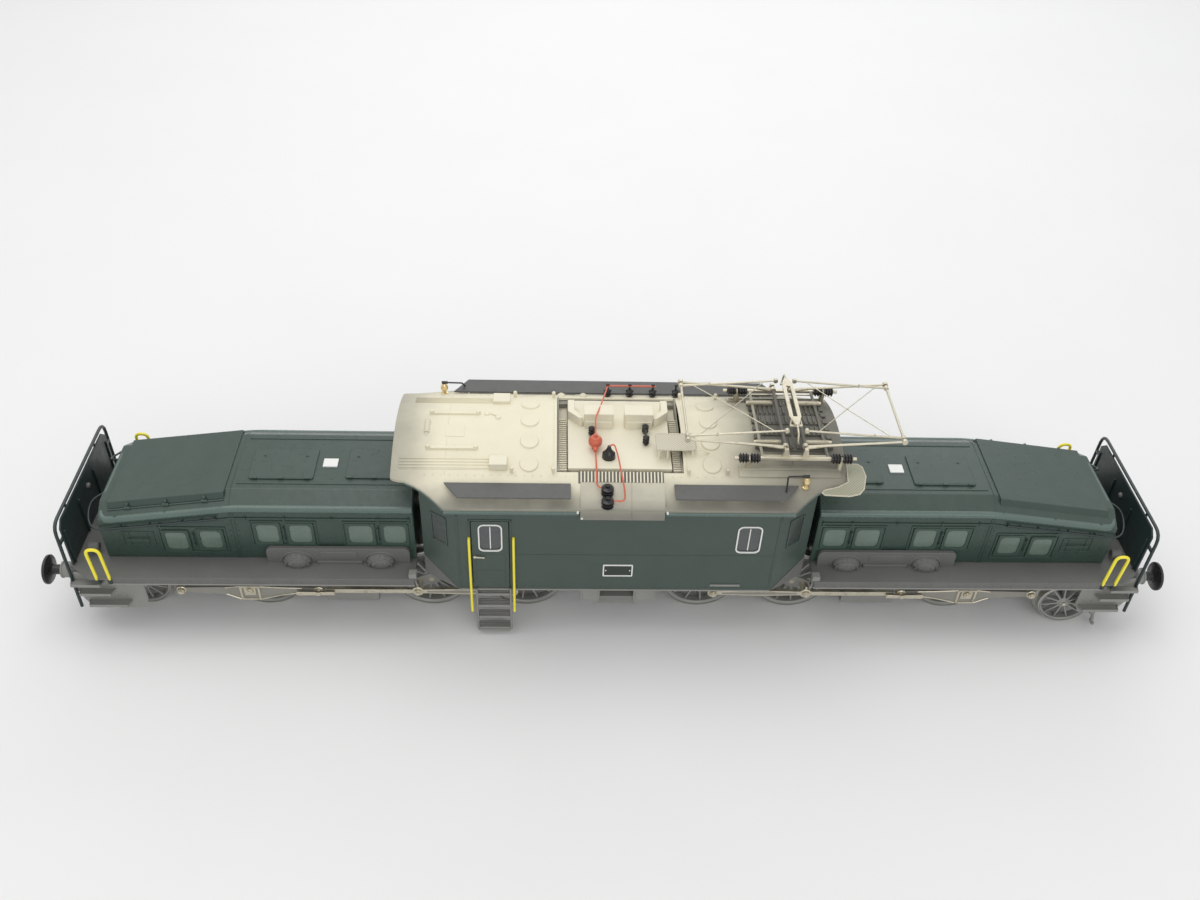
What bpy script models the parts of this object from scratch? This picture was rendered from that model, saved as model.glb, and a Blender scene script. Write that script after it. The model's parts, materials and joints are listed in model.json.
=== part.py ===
"""Gauge-1 model of an articulated rod-drive electric locomotive with two hoods and a centre cab.

X runs along the locomotive, -Y is the near side and Z is up.  The origin is midway along and
across it, at the lowest point of the wheel flanges.  Every size below is in millimetres, and the
shape helpers turn it into Blender's metres.  The right-hand bogie (+X) is modelled, and the
left-hand one is its mirror image.
"""

import math

import bmesh
import bpy
from mathutils import Matrix, Vector

MM = 0.001
FIT = 0.3  # gap between pieces that touch on the real model
FLAT_ANGLE = math.radians(0.5)  # faces meeting at less than this are one flat face
OBJECT_NAME = "model_electric_locomotive"

# Running gear
FLANGE_DEPTH = 1.6
DRIVER_RADIUS = 21.1
CARRIER_RADIUS = 14.2
AXLE_HEIGHT = FLANGE_DEPTH + DRIVER_RADIUS
CARRIER_HEIGHT = FLANGE_DEPTH + CARRIER_RADIUS
DRIVER_X = {"inner": 48.0, "middle": 99.6, "outer": 190.0}
JACKSHAFT_X = {"inner": 153.0, "outer": 226.5}
CARRIER_X = 256.0
WHEEL_BACK = 21.2  # wheel backs lie this far from the centre line
WHEEL_WIDTH = 5.6
WHEEL_FACE = WHEEL_BACK + WHEEL_WIDTH
RIM_SEGMENTS = 20
AXLE_RADIUS = 2.2
CRANK_THROW = 7.5
CRANK_ANGLE = {-1: math.radians(-20.0), 1: math.radians(70.0)}  # by side: the two are quartered
PIN_RADIUS = 1.3
ROD_MIDDLE = 33.0  # the rods' plane, from the centre line
ROD_THICKNESS = 2.4
GEAR_RADIUS = 14.0
PINION_RADIUS = 4.0
GEAR_SIDE = (10.0, 15.0)

# Carrying truck
TRUCK_PIVOT_X = 159.0
TRUCK_SWING = math.radians(-6.2)  # the right-hand truck rests swung towards the near side

# Bogie, deck and hood
BOGIE_PIVOT_X = 75.0
FRAME_SIDE = (17.0, 19.0)
FRAME_TOP = (34.3, 36.5)
DECK_INNER = 105.8
DECK_OUTER = 286.0
DECK_HALF_WIDTH = 46.1
DECK_TOP = 42.6
DECK_THICKNESS = 2.0
WHEEL_BAY = 28.6  # half the width left free for the driving wheels
WHEEL_BAY_TOP = 46.8
HOOD_HALF_WIDTH = 31.0
HOOD_FLAT_HALF_WIDTH = 21.4
HOOD_SECTIONS = ((DECK_INNER, 78.4, 84.2), (198.5, 78.4, 84.2), (267.6, 69.0, 74.8))
HOOD_WALL = 1.5
BEAM = (283.0, 287.0)
BUFFER_HEIGHT = 31.6
BUFFER_SPREAD = 30.0
BUFFER_FACE = 304.0
RAIL_X = 284.6

# Centre section
CAB_HALF_LENGTH = 82.6
CAB_HALF_WIDTH = 46.1
CAB_END = 101.5
CAB_END_HALF_WIDTH = 34.0
CAB_WALL = 1.5
CAB_BOTTOM = 36.2
CAB_TOP = 90.6
FLOOR = (47.2, 49.2)
DOOR_X = (-75.0, -56.0)
DOOR_Z = (37.2, 85.6)
DOOR_WINDOW_X = (-71.2, -59.6)
WINDOW_X = (60.6, 73.2)
WINDOW_Z = (65.0, 83.4)
LADDER_X = (-74.5, -55.5)

# Roof
ROOF_HALF_LENGTH = 115.0
ROOF_SHOULDER = 88.0
ROOF_HALF_WIDTH = 47.4
ROOF_END_HALF_WIDTH = 35.0
ROOF_CROWN = 111.8
ROOF_FALL = 16.2
ROOF_FASCIA = 4.6
ROOF_SKIN = 1.6
WELL = (32.0, 30.0)
CHOKE_BOXES_X = ((-17.8, -2.5), (3.3, 18.1))
LEAD_IN = (-6.7, -40.6)
LEAD_IN_LIFT = 1.5  # clears the roof, which rises under the inner half of the foot

# Pantograph
PANTO_X = 88.0
PANTO_PIVOT_HEIGHT = 118.0
PANTO_PIVOT_OFFSET = 5.0
PANTO_ARM = 50.0
PANTO_ANGLE = math.radians(4.6)
PANTO_LOWER_Y = 23.5
PANTO_UPPER_Y = 20.5
PANTO_TUBE = 0.65

PALETTE = {
    "green_paint": ((0.055, 0.085, 0.066), 0.42, 0.0),
    "green_top": ((0.105, 0.128, 0.108), 0.5, 0.0),
    "roof_cream": ((0.72, 0.67, 0.52), 0.6, 0.0),
    "deck_grey": ((0.13, 0.13, 0.122), 0.6, 0.0),
    "frame_grey": ((0.21, 0.21, 0.195), 0.6, 0.0),
    "wheel_grey": ((0.26, 0.26, 0.245), 0.45, 0.3),
    "rod_nickel": ((0.55, 0.5, 0.4), 0.35, 0.9),
    "dark_steel": ((0.025, 0.034, 0.036), 0.45, 0.2),
    "buffer_black": ((0.02, 0.02, 0.022), 0.35, 0.3),
    "panto_nickel": ((0.66, 0.6, 0.46), 0.35, 0.9),
    "insulator_black": ((0.02, 0.018, 0.017), 0.3, 0.0),
    "motor_steel": ((0.5, 0.5, 0.52), 0.3, 1.0),
    "gear_brass": ((0.75, 0.56, 0.24), 0.35, 1.0),
    "board_green": ((0.03, 0.16, 0.08), 0.5, 0.0),
    "speaker_black": ((0.03, 0.03, 0.03), 0.6, 0.0),
}


def clear_scene():
    for thing in list(bpy.data.objects):
        bpy.data.objects.remove(thing, do_unlink=True)


def new_collection(name):
    group = bpy.data.collections.new(name)
    bpy.context.scene.collection.children.link(group)
    return group


def make_materials():
    made = {}
    for name, (colour, roughness, metallic) in PALETTE.items():
        surface = bpy.data.materials.new(name)
        surface.use_nodes = True
        shader = surface.node_tree.nodes["Principled BSDF"]
        shader.inputs["Base Color"].default_value = (*colour, 1.0)
        shader.inputs["Roughness"].default_value = roughness
        shader.inputs["Metallic"].default_value = metallic
        made[name] = surface
    return made


# Shapes, each an object of its own until it is joined into a piece


def shape_from_bmesh(bm):
    mesh = bpy.data.meshes.new("shape")
    bm.to_mesh(mesh)
    bm.free()
    shape = bpy.data.objects.new("shape", mesh)
    WORKSHOP.objects.link(shape)
    return shape


def block(low, high):
    """A box between two opposite corners, in millimetres."""
    low = Vector(low) * MM
    high = Vector(high) * MM
    size = high - low
    bm = bmesh.new()
    placing = Matrix.Translation((low + high) / 2) @ Matrix.Diagonal((*size, 1.0))
    bmesh.ops.create_cube(bm, size=1.0, matrix=placing)
    return shape_from_bmesh(bm)


def bar(start, end, radius, segments=10):
    """A round bar from one point to another."""
    start = Vector(start) * MM
    end = Vector(end) * MM
    along = end - start
    turn = along.to_track_quat("Z", "Y").to_matrix().to_4x4()
    bm = bmesh.new()
    bmesh.ops.create_cone(
        bm,
        cap_ends=True,
        segments=segments,
        radius1=radius * MM,
        radius2=radius * MM,
        depth=along.length,
        matrix=Matrix.Translation((start + end) / 2) @ turn,
    )
    return shape_from_bmesh(bm)


def bent_bar(points, radius):
    """A bent round wire through the points."""
    curve = bpy.data.curves.new("wire", "CURVE")
    curve.dimensions = "3D"
    curve.bevel_depth = radius * MM
    curve.bevel_resolution = 2
    curve.use_fill_caps = True
    spline = curve.splines.new("POLY")
    spline.points.add(len(points) - 1)
    for point, place in zip(spline.points, points):
        point.co = (*(Vector(place) * MM), 1.0)
    return mesh_from_curve(curve, Matrix.Identity(4))


def mesh_from_curve(curve, placing):
    drawn = bpy.data.objects.new("outline", curve)
    WORKSHOP.objects.link(drawn)
    bpy.context.view_layer.update()
    graph = bpy.context.evaluated_depsgraph_get()
    mesh = bpy.data.meshes.new_from_object(drawn.evaluated_get(graph))
    bpy.data.objects.remove(drawn)
    bm = bmesh.new()
    bm.from_mesh(mesh)
    bpy.data.meshes.remove(mesh)
    bmesh.ops.remove_doubles(bm, verts=bm.verts, dist=1e-6)
    edges = bm.edges[:]
    bmesh.ops.dissolve_limit(bm, angle_limit=FLAT_ANGLE, verts=bm.verts, edges=edges)
    bmesh.ops.transform(bm, matrix=placing, verts=bm.verts)
    return shape_from_bmesh(bm)


def plate(outlines, normal, span):
    """A flat plate: outlines is the outer loop and any holes, normal the axis across it."""
    curve = bpy.data.curves.new("plate", "CURVE")
    curve.dimensions = "2D"
    curve.fill_mode = "BOTH"
    curve.extrude = (span[1] - span[0]) / 2 * MM
    for loop in outlines:
        spline = curve.splines.new("POLY")
        spline.points.add(len(loop) - 1)
        spline.use_cyclic_u = True
        for point, (across, up) in zip(spline.points, loop):
            point.co = (across * MM, up * MM, 0.0, 1.0)
    middle = (span[0] + span[1]) / 2 * MM
    placing = {
        "Z": Matrix.Translation((0, 0, middle)),
        "Y": Matrix.Translation((0, middle, 0)) @ Matrix.Rotation(math.radians(90), 4, "X"),
        "X": Matrix.Translation((middle, 0, 0))
        @ Matrix.Rotation(math.radians(90), 4, "Z")
        @ Matrix.Rotation(math.radians(90), 4, "X"),
    }[normal]
    return mesh_from_curve(curve, placing)


def turned(profile, placing, segments=24):
    """A ring or spindle: the profile's (radius, height) points are turned about Z."""
    bm = bmesh.new()
    corners = [bm.verts.new((radius * MM, 0.0, height * MM)) for radius, height in profile]
    closed = profile[0][0] > 0
    for first, second in zip(corners, corners[1:] + (corners[:1] if closed else [])):
        bm.edges.new((first, second))
    shape = shape_from_bmesh(bm)
    screw = shape.modifiers.new("turn", "SCREW")
    screw.steps = segments
    screw.render_steps = segments
    screw.use_merge_vertices = True
    screw.merge_threshold = 1e-5
    screw.use_smooth_shade = False
    mesh = evaluated_mesh(shape)
    mesh.transform(placing)
    bpy.data.objects.remove(shape)
    solid = bpy.data.objects.new("shape", mesh)
    WORKSHOP.objects.link(solid)
    return solid


def evaluated_mesh(shape):
    bpy.context.view_layer.update()
    graph = bpy.context.evaluated_depsgraph_get()
    return bpy.data.meshes.new_from_object(shape.evaluated_get(graph))


def combined(base, others, operation):
    """The base with every other shape joined to it or cut from it."""
    for other in others:
        step = base.modifiers.new(operation.lower(), "BOOLEAN")
        step.operation = operation
        step.solver = "EXACT"
        step.object = other
    mesh = evaluated_mesh(base)
    for used in (base, *others):
        bpy.data.objects.remove(used)
    solid = bpy.data.objects.new("shape", mesh)
    WORKSHOP.objects.link(solid)
    return solid


def joined(*shapes):
    return combined(shapes[0], shapes[1:], "UNION")


def cut(base, *cutters):
    return combined(base, cutters, "DIFFERENCE")


def ring_points(radius, centre, count=12, start=0.0):
    return [
        (
            centre[0] + radius * math.cos(start + 2 * math.pi * step / count),
            centre[1] + radius * math.sin(start + 2 * math.pi * step / count),
        )
        for step in range(count)
    ]


# Pieces: a shape given its name, material, origin and parent


def pivot(name, place, parent=None, turn=0.0):
    """An empty on a joint's axis."""
    holder = bpy.data.objects.new(name, None)
    OBJECT.objects.link(holder)
    holder.location = Vector(place) * MM
    holder.rotation_euler = (0.0, 0.0, turn)
    holder.parent = parent
    return holder


def piece(name, shape, finish, parent=None, place=(0.0, 0.0, 0.0), smooth=True):
    """Names a shape whose mesh is drawn about its own origin, and puts it at place."""
    shape.name = name
    shape.data.name = name
    shape.data.materials.clear()
    shape.data.materials.append(MATERIALS[finish])
    for face in shape.data.polygons:
        face.material_index = 0
    if smooth:
        shape.data.shade_smooth()
        shape.data.set_sharp_from_angle(angle=math.radians(32))
    WORKSHOP.objects.unlink(shape)
    OBJECT.objects.link(shape)
    shape.location = Vector(place) * MM
    shape.parent = parent
    return shape


def mirror_shape(shape):
    """A new shape, mirrored in X about its own origin."""
    bm = bmesh.new()
    bm.from_mesh(shape.data)
    bmesh.ops.transform(bm, matrix=Matrix.Scale(-1.0, 4, (1.0, 0.0, 0.0)), verts=bm.verts)
    bmesh.ops.reverse_faces(bm, faces=bm.faces)
    return shape_from_bmesh(bm)


def spoke_windows(inner, outer, count, spoke_width):
    """The openings between straight spokes, as closed loops."""
    openings = []
    for step in range(count):
        middle = 2 * math.pi * (step + 0.5) / count
        half = math.pi / count
        loop = []
        for radius, sign in ((inner, -1), (outer, -1), (outer, 1), (inner, 1)):
            angle = middle + sign * (half - math.asin(spoke_width / 2 / radius))
            loop.append((radius * math.cos(angle), radius * math.sin(angle)))
        openings.append(loop)
    return openings


def wheel(radius, side, spokes, hub):
    """A spoked wheel with its flange towards the centre line; side is -1 or 1 along Y."""
    tyre = [
        (radius - 2.6, 0.0),
        (radius + FLANGE_DEPTH, 0.0),
        (radius + FLANGE_DEPTH, 0.9),
        (radius, 2.1),
        (radius, WHEEL_WIDTH),
        (radius - 2.6, WHEEL_WIDTH),
    ]
    outwards = Matrix.Rotation(math.radians(-90 * side), 4, "X")
    place = Matrix.Translation((0.0, side * WHEEL_BACK * MM, 0.0))
    rim = turned(tyre, place @ outwards, RIM_SEGMENTS)
    web_outline = [ring_points(radius - 1.6, (0, 0), RIM_SEGMENTS)]
    web_outline += spoke_windows(hub, radius - 3.2, spokes, 2.4)
    inner = side * (WHEEL_BACK + 1.4)
    outer = side * (WHEEL_BACK + 4.4)
    web = plate(web_outline, "Y", (min(inner, outer), max(inner, outer)))
    boss = bar((0, side * WHEEL_BACK, 0), (0, side * (WHEEL_FACE + 0.4), 0), hub + 0.5, 10)
    return [rim, web, boss]


def crank_offset(side):
    angle = CRANK_ANGLE[side]
    return CRANK_THROW * math.cos(angle), CRANK_THROW * math.sin(angle)


def crank_pin(side, start):
    across, up = crank_offset(side)
    end = side * (ROD_MIDDLE + ROD_THICKNESS / 2 + 0.6)
    return bar((across, side * start, up), (across, end, up), PIN_RADIUS, 8)


def driving_wheelset():
    parts = [bar((0, -WHEEL_BACK - 1, 0), (0, WHEEL_BACK + 1, 0), AXLE_RADIUS, 12)]
    for side in (-1, 1):
        parts += wheel(DRIVER_RADIUS, side, 7, 4.6)
        across, up = crank_offset(side)
        web = (WHEEL_BACK + 1.5, WHEEL_FACE)
        parts.append(bar((across, side * web[0], up), (across, side * web[1], up), 3.0, 8))
        parts.append(crank_pin(side, WHEEL_FACE - 1))
    return joined(*parts)


def jackshaft(with_gear):
    parts = [bar((0, -WHEEL_BACK - 1, 0), (0, WHEEL_BACK + 1, 0), AXLE_RADIUS, 12)]
    for side in (-1, 1):
        start = side * (WHEEL_BACK + 0.4)
        parts.append(bar((0, start, 0), (0, side * WHEEL_FACE, 0), 9.5, 16))
        parts.append(crank_pin(side, WHEEL_FACE - 1))
    if with_gear:
        parts.append(bar((0, GEAR_SIDE[0], 0), (0, GEAR_SIDE[1], 0), GEAR_RADIUS, 20))
    return joined(*parts)


def carrying_wheelset():
    parts = [bar((0, -WHEEL_BACK - 1, 0), (0, WHEEL_BACK + 1, 0), 1.8, 12)]
    for side in (-1, 1):
        parts += wheel(CARRIER_RADIUS, side, 6, 3.6)
    return joined(*parts)


def truck_frame():
    """The carrying truck, drawn about its pivot, with its length along X."""
    reach = CARRIER_X - TRUCK_PIVOT_X
    base = (9.4, 12.4)
    parts = [
        block((-4, -5, base[0]), (reach + 17, 5, base[1])),
        block((reach - 11, -15, base[0]), (reach - 7, 15, base[1])),
        block((reach + 16, -27, base[0]), (reach + 19, 27, base[1])),
    ]
    slot = 2.1
    top = CARRIER_HEIGHT + 4
    for side in (-1, 1):
        cheek = [
            (reach - 9, base[0]),
            (reach - slot, base[0]),
            (reach - slot, CARRIER_HEIGHT + slot),
            (reach + slot, CARRIER_HEIGHT + slot),
            (reach + slot, base[0]),
            (reach + 17, base[0]),
            (reach + 17, base[1]),
            (reach + 7, top),
            (reach - 7, top),
            (reach - 9, base[1]),
        ]
        faces = sorted((side * 12.0, side * 14.0))
        parts.append(plate([cheek], "Y", faces))
        start = (reach + 17.5, side * 25.5, base[0] + 1.5)
        parts.append(bar(start, (reach + 19.5, side * 25.5, 3.0), 1.1, 8))
    return joined(*parts)


def rod_outline(points):
    """A closed outline that swells to each point's half height: points are (x, z, half)."""
    top = [(across, up + tall) for across, up, tall in points]
    bottom = [(across, up - tall) for across, up, tall in reversed(points)]
    return top + bottom


def rod(points, holes, bosses, side):
    """A side rod drawn about the inner wheel's crank pin, with a bored eye at each pin."""
    near = side * (ROD_MIDDLE - ROD_THICKNESS / 2)
    far = side * (ROD_MIDDLE + ROD_THICKNESS / 2)
    span = (min(near, far), max(near, far))
    parts = [plate([rod_outline(points)], "Y", span)]
    for across, up, radius in bosses:
        parts.append(bar((across, span[0] - 0.2, up), (across, span[1] + 0.2, up), radius, 10))
    solid = joined(*parts)
    bores = [
        bar((across, span[0] - 1, 0), (across, span[1] + 1, 0), PIN_RADIUS + 0.4, 10)
        for across in holes
    ]
    return cut(solid, *bores)


def coupling_rod(side):
    """From the inner wheel to the middle one, with a strap that laps outside the frame rod."""
    middle = DRIVER_X["middle"] - DRIVER_X["inner"]
    jackshaft_pin = JACKSHAFT_X["inner"] - DRIVER_X["inner"]
    end = jackshaft_pin - 3.6
    points = [
        (0.0, 0.0, 1.6),
        (middle * 0.3, 0.0, 2.0),
        (middle * 0.5, 0.0, 2.4),
        (middle * 0.7, 0.0, 2.0),
        (middle, 0.0, 1.6),
        (end, 0.0, 1.5),
    ]
    bosses = [(0.0, 0.0, 3.0), (middle, 0.0, 3.2)]
    solid = rod(points, (0.0, middle), bosses, side)
    strap = sorted((side * (ROD_MIDDLE + 2.1), side * (ROD_MIDDLE + 3.3)))
    step = sorted((side * ROD_MIDDLE, side * (ROD_MIDDLE + 3.2)))
    return joined(
        solid,
        block((end - 5.0, step[0], -1.3), (end - 0.4, step[1], 1.3)),
        block((end - 4.6, strap[0], -1.4), (jackshaft_pin + 12.0, strap[1], 1.4)),
    )


def frame_rod(side):
    """The wide rod between the two jackshafts, with the slide block of the outer wheel."""
    start = JACKSHAFT_X["inner"] - DRIVER_X["inner"]
    block_x = DRIVER_X["outer"] - DRIVER_X["inner"]
    end = JACKSHAFT_X["outer"] - DRIVER_X["inner"]
    points = [
        (start, 0.0, 1.6),
        (start + 9.0, 0.2, 2.0),
        (start + 20.0, -0.6, 3.2),
        (block_x - 5.6, -1.9, 5.2),
        (block_x + 5.6, -1.8, 5.2),
        (block_x + 13.0, -0.4, 2.8),
        (end, 0.0, 1.7),
    ]
    bosses = [(start, 0.0, 2.9), (end, 0.0, 2.7)]
    return rod(points, (start, block_x, end), bosses, side)


def bogie_frame():
    low, high = 15.0, FRAME_TOP[1]
    slots = sorted((*DRIVER_X.values(), *JACKSHAFT_X.values()))
    slot = AXLE_RADIUS + 0.4
    ends = (27.0, 234.0)
    lower_edge = [(ends[0], low)]
    for place in slots:
        lower_edge += [
            (place - slot, low),
            (place - slot, AXLE_HEIGHT + slot),
            (place + slot, AXLE_HEIGHT + slot),
            (place + slot, low),
        ]
    lower_edge.append((ends[1], low))
    outline = lower_edge + [(ends[1], high), (ends[0], high)]
    bay = (128.0, 166.0)
    beam_inner = BEAM[0] - FIT
    parts = []
    for side in (-1, 1):
        faces = sorted((side * FRAME_SIDE[0], side * FRAME_SIDE[1]))
        parts.append(plate([outline], "Y", faces))
        hanger = sorted((side * (FRAME_SIDE[0] + 0.3), side * (FRAME_SIDE[1] - 0.3)))
        parts.append(block((131.0, hanger[0], 7.4), (145.0, hanger[1], low + 1.0)))
        tank = sorted((side * (FRAME_SIDE[0] + 0.6), side * 28.0))
        parts.append(block((129.3, tank[0], 6.4), (158.0, tank[1], 12.4)))
    wide = FRAME_SIDE[1] - 0.5
    top = (FRAME_TOP[0], FRAME_TOP[1] - 0.2)
    parts.append(block((ends[0] + 0.5, -wide, top[0]), (bay[0], wide, top[1])))
    parts.append(block((bay[1], -wide, top[0]), (beam_inner, wide, top[1])))
    cross = (top[1] - 0.5, DECK_TOP - DECK_THICKNESS - FIT)
    parts.append(block((272.0, -wide + 1, cross[0]), (beam_inner - 0.4, wide - 1, cross[1])))
    return joined(*parts)


def deck():
    """The running board with its valances, buffer beam, buffer sockets and corner steps."""
    chamfer = (274.0, 37.0)
    edge = DECK_HALF_WIDTH
    outer = [
        (DECK_INNER, -edge),
        (chamfer[0], -edge),
        (DECK_OUTER, -chamfer[1]),
        (DECK_OUTER, chamfer[1]),
        (chamfer[0], edge),
        (DECK_INNER, edge),
    ]
    outer += [
        (DECK_INNER, WHEEL_BAY),
        (262.0, WHEEL_BAY),
        (262.0, -WHEEL_BAY),
        (DECK_INNER, -WHEEL_BAY),
    ]
    board = (DECK_TOP - DECK_THICKNESS, DECK_TOP)
    parts = [plate([outer], "Z", board)]
    parts.append(block((BEAM[0], -39.0, 24.0), (BEAM[1], 39.0, board[0] + 0.5)))
    for side in (-1, 1):
        parts += deck_side(side, board[0])
    return joined(*parts)


def deck_side(side, underside):
    edge = DECK_HALF_WIDTH
    out = sorted((side * (edge - 1.4), side * edge))
    valance = block((DECK_INNER + 0.2, out[0], 38.4), (262.0, out[1], underside + 0.5))
    vent = sorted((side * (HOOD_HALF_WIDTH + 0.5), side * 36.4))
    strip = block((109.0, vent[0], DECK_TOP - 0.5), (184.0, vent[1], 56.0))
    back = sorted((side * 40.4, side * 41.4))
    step_back = block((258.0, back[0], 15.0), (283.0, back[1], underside + 0.5))
    parts = [valance, strip, step_back]
    tread = sorted((side * 40.6, side * edge))
    for start, end, height in ((268.0, 286.0, 35.0), (264.0, 283.0, 28.2), (257.0, 280.0, 19.6)):
        parts.append(block((start, tread[0], height), (end, tread[1], height + 1.1)))
    socket = [(3.1, 0.0), (4.6, 0.0), (4.6, 8.0), (3.1, 8.0)]
    along_x = Matrix.Rotation(math.radians(90), 4, "Y")
    place = Vector((BEAM[1] - 0.5, side * BUFFER_SPREAD, BUFFER_HEIGHT)) * MM
    parts.append(turned(socket, Matrix.Translation(place) @ along_x, 16))
    return parts


def hood():
    """A thin shell, open below, whose top slopes down to the nose."""
    bm = bmesh.new()
    bottom = DECK_TOP + FIT
    loops = []
    for across, rib, top in HOOD_SECTIONS:
        half = [(-HOOD_HALF_WIDTH, bottom), (-HOOD_HALF_WIDTH, rib), (-HOOD_FLAT_HALF_WIDTH, top)]
        section = half + [(-side, up) for side, up in reversed(half)]
        loops.append([bm.verts.new((across * MM, y * MM, z * MM)) for y, z in section])
    for first, second in zip(loops, loops[1:]):
        for index in range(len(first) - 1):
            bm.faces.new((first[index], first[index + 1], second[index + 1], second[index]))
    bm.faces.new(loops[0][::-1])
    bm.faces.new(loops[-1])
    bmesh.ops.recalc_face_normals(bm, faces=bm.faces)
    shape = shape_from_bmesh(bm)
    wall = shape.modifiers.new("wall", "SOLIDIFY")
    wall.thickness = HOOD_WALL * MM
    wall.offset = -1.0
    wall.use_even_offset = True
    mesh = evaluated_mesh(shape)
    bpy.data.objects.remove(shape)
    solid = bpy.data.objects.new("shape", mesh)
    WORKSHOP.objects.link(solid)
    low = (DECK_INNER - 2.0, -WHEEL_BAY, bottom - 2.0)
    return cut(solid, block(low, (DECK_INNER + 4.0, WHEEL_BAY, WHEEL_BAY_TOP)))


def end_panel():
    """The dark end screen with its bent tube rail, which stands on the top corner steps."""
    top, half = 74.8, 41.0
    foot = 36.1 + FIT
    rail = [
        (RAIL_X, -half - 1.0, foot),
        (RAIL_X, -half, top - 3.0),
        (RAIL_X, -half + 3.0, top),
        (RAIL_X, half - 3.0, top),
        (RAIL_X, half, top - 3.0),
        (RAIL_X, half + 1.0, foot),
    ]
    screen = block((RAIL_X - 1.2, -35.5, DECK_TOP + FIT), (RAIL_X - 0.1, 35.5, 70.0))
    ties = [
        block((RAIL_X - 1.0, side * 38.3 - 3.2, 62.0), (RAIL_X + 0.2, side * 38.3 + 3.2, 64.0))
        for side in (-1, 1)
    ]
    return joined(bent_bar(rail, 0.9), screen, *ties)


def buffer():
    """A sprung buffer drawn about its own socket's mouth, facing +X."""
    face = BUFFER_FACE - BEAM[1]
    profile = [(0.0, face), (5.0, face - 0.2), (8.0, face - 1.0), (8.0, face - 2.4), (2.7, face - 3.6)]
    profile += [(2.7, 4.0), (0.0, 4.0)]
    along_x = Matrix.Rotation(math.radians(90), 4, "Y")
    return turned(profile, along_x, 16)


def draw_hook():
    """The hook, drawn about its swing pin; it opens upwards."""
    outline = [(0.0, -2.0), (7.0, -2.0), (10.0, -5.0), (14.0, -4.0), (15.0, 1.0)]
    outline += [(12.4, 3.4), (11.6, 0.4), (9.4, -1.4), (8.4, 2.0), (0.0, 2.0)]
    return plate([outline], "Y", (-1.1, 1.1))


def motor():
    """The can lies across the bogie, with the bearing boss of its shaft on the far side."""
    can = bar((0, -16.5, 0), (0, 6.5, 0), 12.0, 20)
    boss = bar((0, 6.0, 0), (0, 8.2, 0), 4.0, 12)
    feet = block((-13.0, -16.0, -8.0), (13.0, 6.0, -4.0))
    return joined(can, boss, feet)


def motor_place():
    reach = GEAR_RADIUS + PINION_RADIUS + FIT
    drop = 9.0
    rise = math.sqrt(reach * reach - drop * drop)
    return JACKSHAFT_X["inner"] - drop, 0.0, AXLE_HEIGHT + rise


def pinion():
    shaft = bar((0, 8.6, 0), (0, 16.4, 0), 1.2, 8)
    teeth = bar((0, GEAR_SIDE[0], 0), (0, GEAR_SIDE[1], 0), PINION_RADIUS, 14)
    return joined(shaft, teeth)


def main_frame():
    """The floor of the centre section, its sills and the two bogie pivots."""
    parts = [block((-99.0, -32.0, FLOOR[0]), (99.0, 32.0, FLOOR[1]))]
    parts.append(block((-80.0, -44.0, FLOOR[0] + 0.1), (80.0, 44.0, FLOOR[1] - 0.1)))
    for side in (-1, 1):
        sill = sorted((side * 41.6, side * 44.2))
        parts.append(block((-79.0, sill[0], 38.4), (79.0, sill[1], FLOOR[1] - 0.3)))
        x = side * BOGIE_PIVOT_X
        parts.append(bar((x, 0, FRAME_TOP[1] + FIT), (x, 0, FLOOR[0] + 0.5), 6.0, 14))
    return joined(*parts)


def cab_outline(inset):
    length, width = CAB_HALF_LENGTH - inset * 0.3, CAB_HALF_WIDTH - inset
    end, end_width = CAB_END - inset, CAB_END_HALF_WIDTH - inset * 0.6
    quarter = [(end, -end_width), (length, -width)]
    return (
        [(-x, y) for x, y in quarter]
        + [(x, y) for x, y in reversed(quarter)]
        + [(x, -y) for x, y in quarter]
        + [(-x, -y) for x, y in reversed(quarter)]
    )


def cab_shell():
    shell = plate([cab_outline(0.0), cab_outline(CAB_WALL)], "Z", (CAB_BOTTOM, CAB_TOP))
    cutters = []
    for side in (-1, 1):
        wall = sorted((side * 43.0, side * 48.0))
        for (first, last), (low, high) in (
            ((DOOR_X[0] - FIT, DOOR_X[1] + FIT), (CAB_BOTTOM - 2.0, DOOR_Z[1] + FIT)),
            (WINDOW_X, WINDOW_Z),
        ):
            ends = sorted((-side * first, -side * last))
            cutters.append(block((ends[0], wall[0], low), (ends[1], wall[1], high)))
        passage = sorted((side * (CAB_END - 4.0), side * (CAB_END + 2.0)))
        low = (passage[0], -CAB_END_HALF_WIDTH + 2.6, CAB_BOTTOM - 2.0)
        cutters.append(block(low, (passage[1], CAB_END_HALF_WIDTH - 2.6, WHEEL_BAY_TOP)))
    return cut(joined(shell, cab_gable(-1), cab_gable(1)), *cutters)


def cab_gable(end):
    """The top of an end wall, arched to the underside of the roof."""
    reach = CAB_END_HALF_WIDTH - 1.5
    outline = [(-reach, CAB_TOP - 3.0), (reach, CAB_TOP - 3.0)]
    for share in (1.0, 0.6, 0.2, -0.2, -0.6, -1.0):
        across = share * reach
        outline.append((across, roof_height(across) - ROOF_SKIN - 4 * FIT))
    faces = sorted((end * (CAB_END - CAB_WALL + 0.2), end * (CAB_END - 0.2)))
    return plate([outline], "X", faces)


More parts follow.
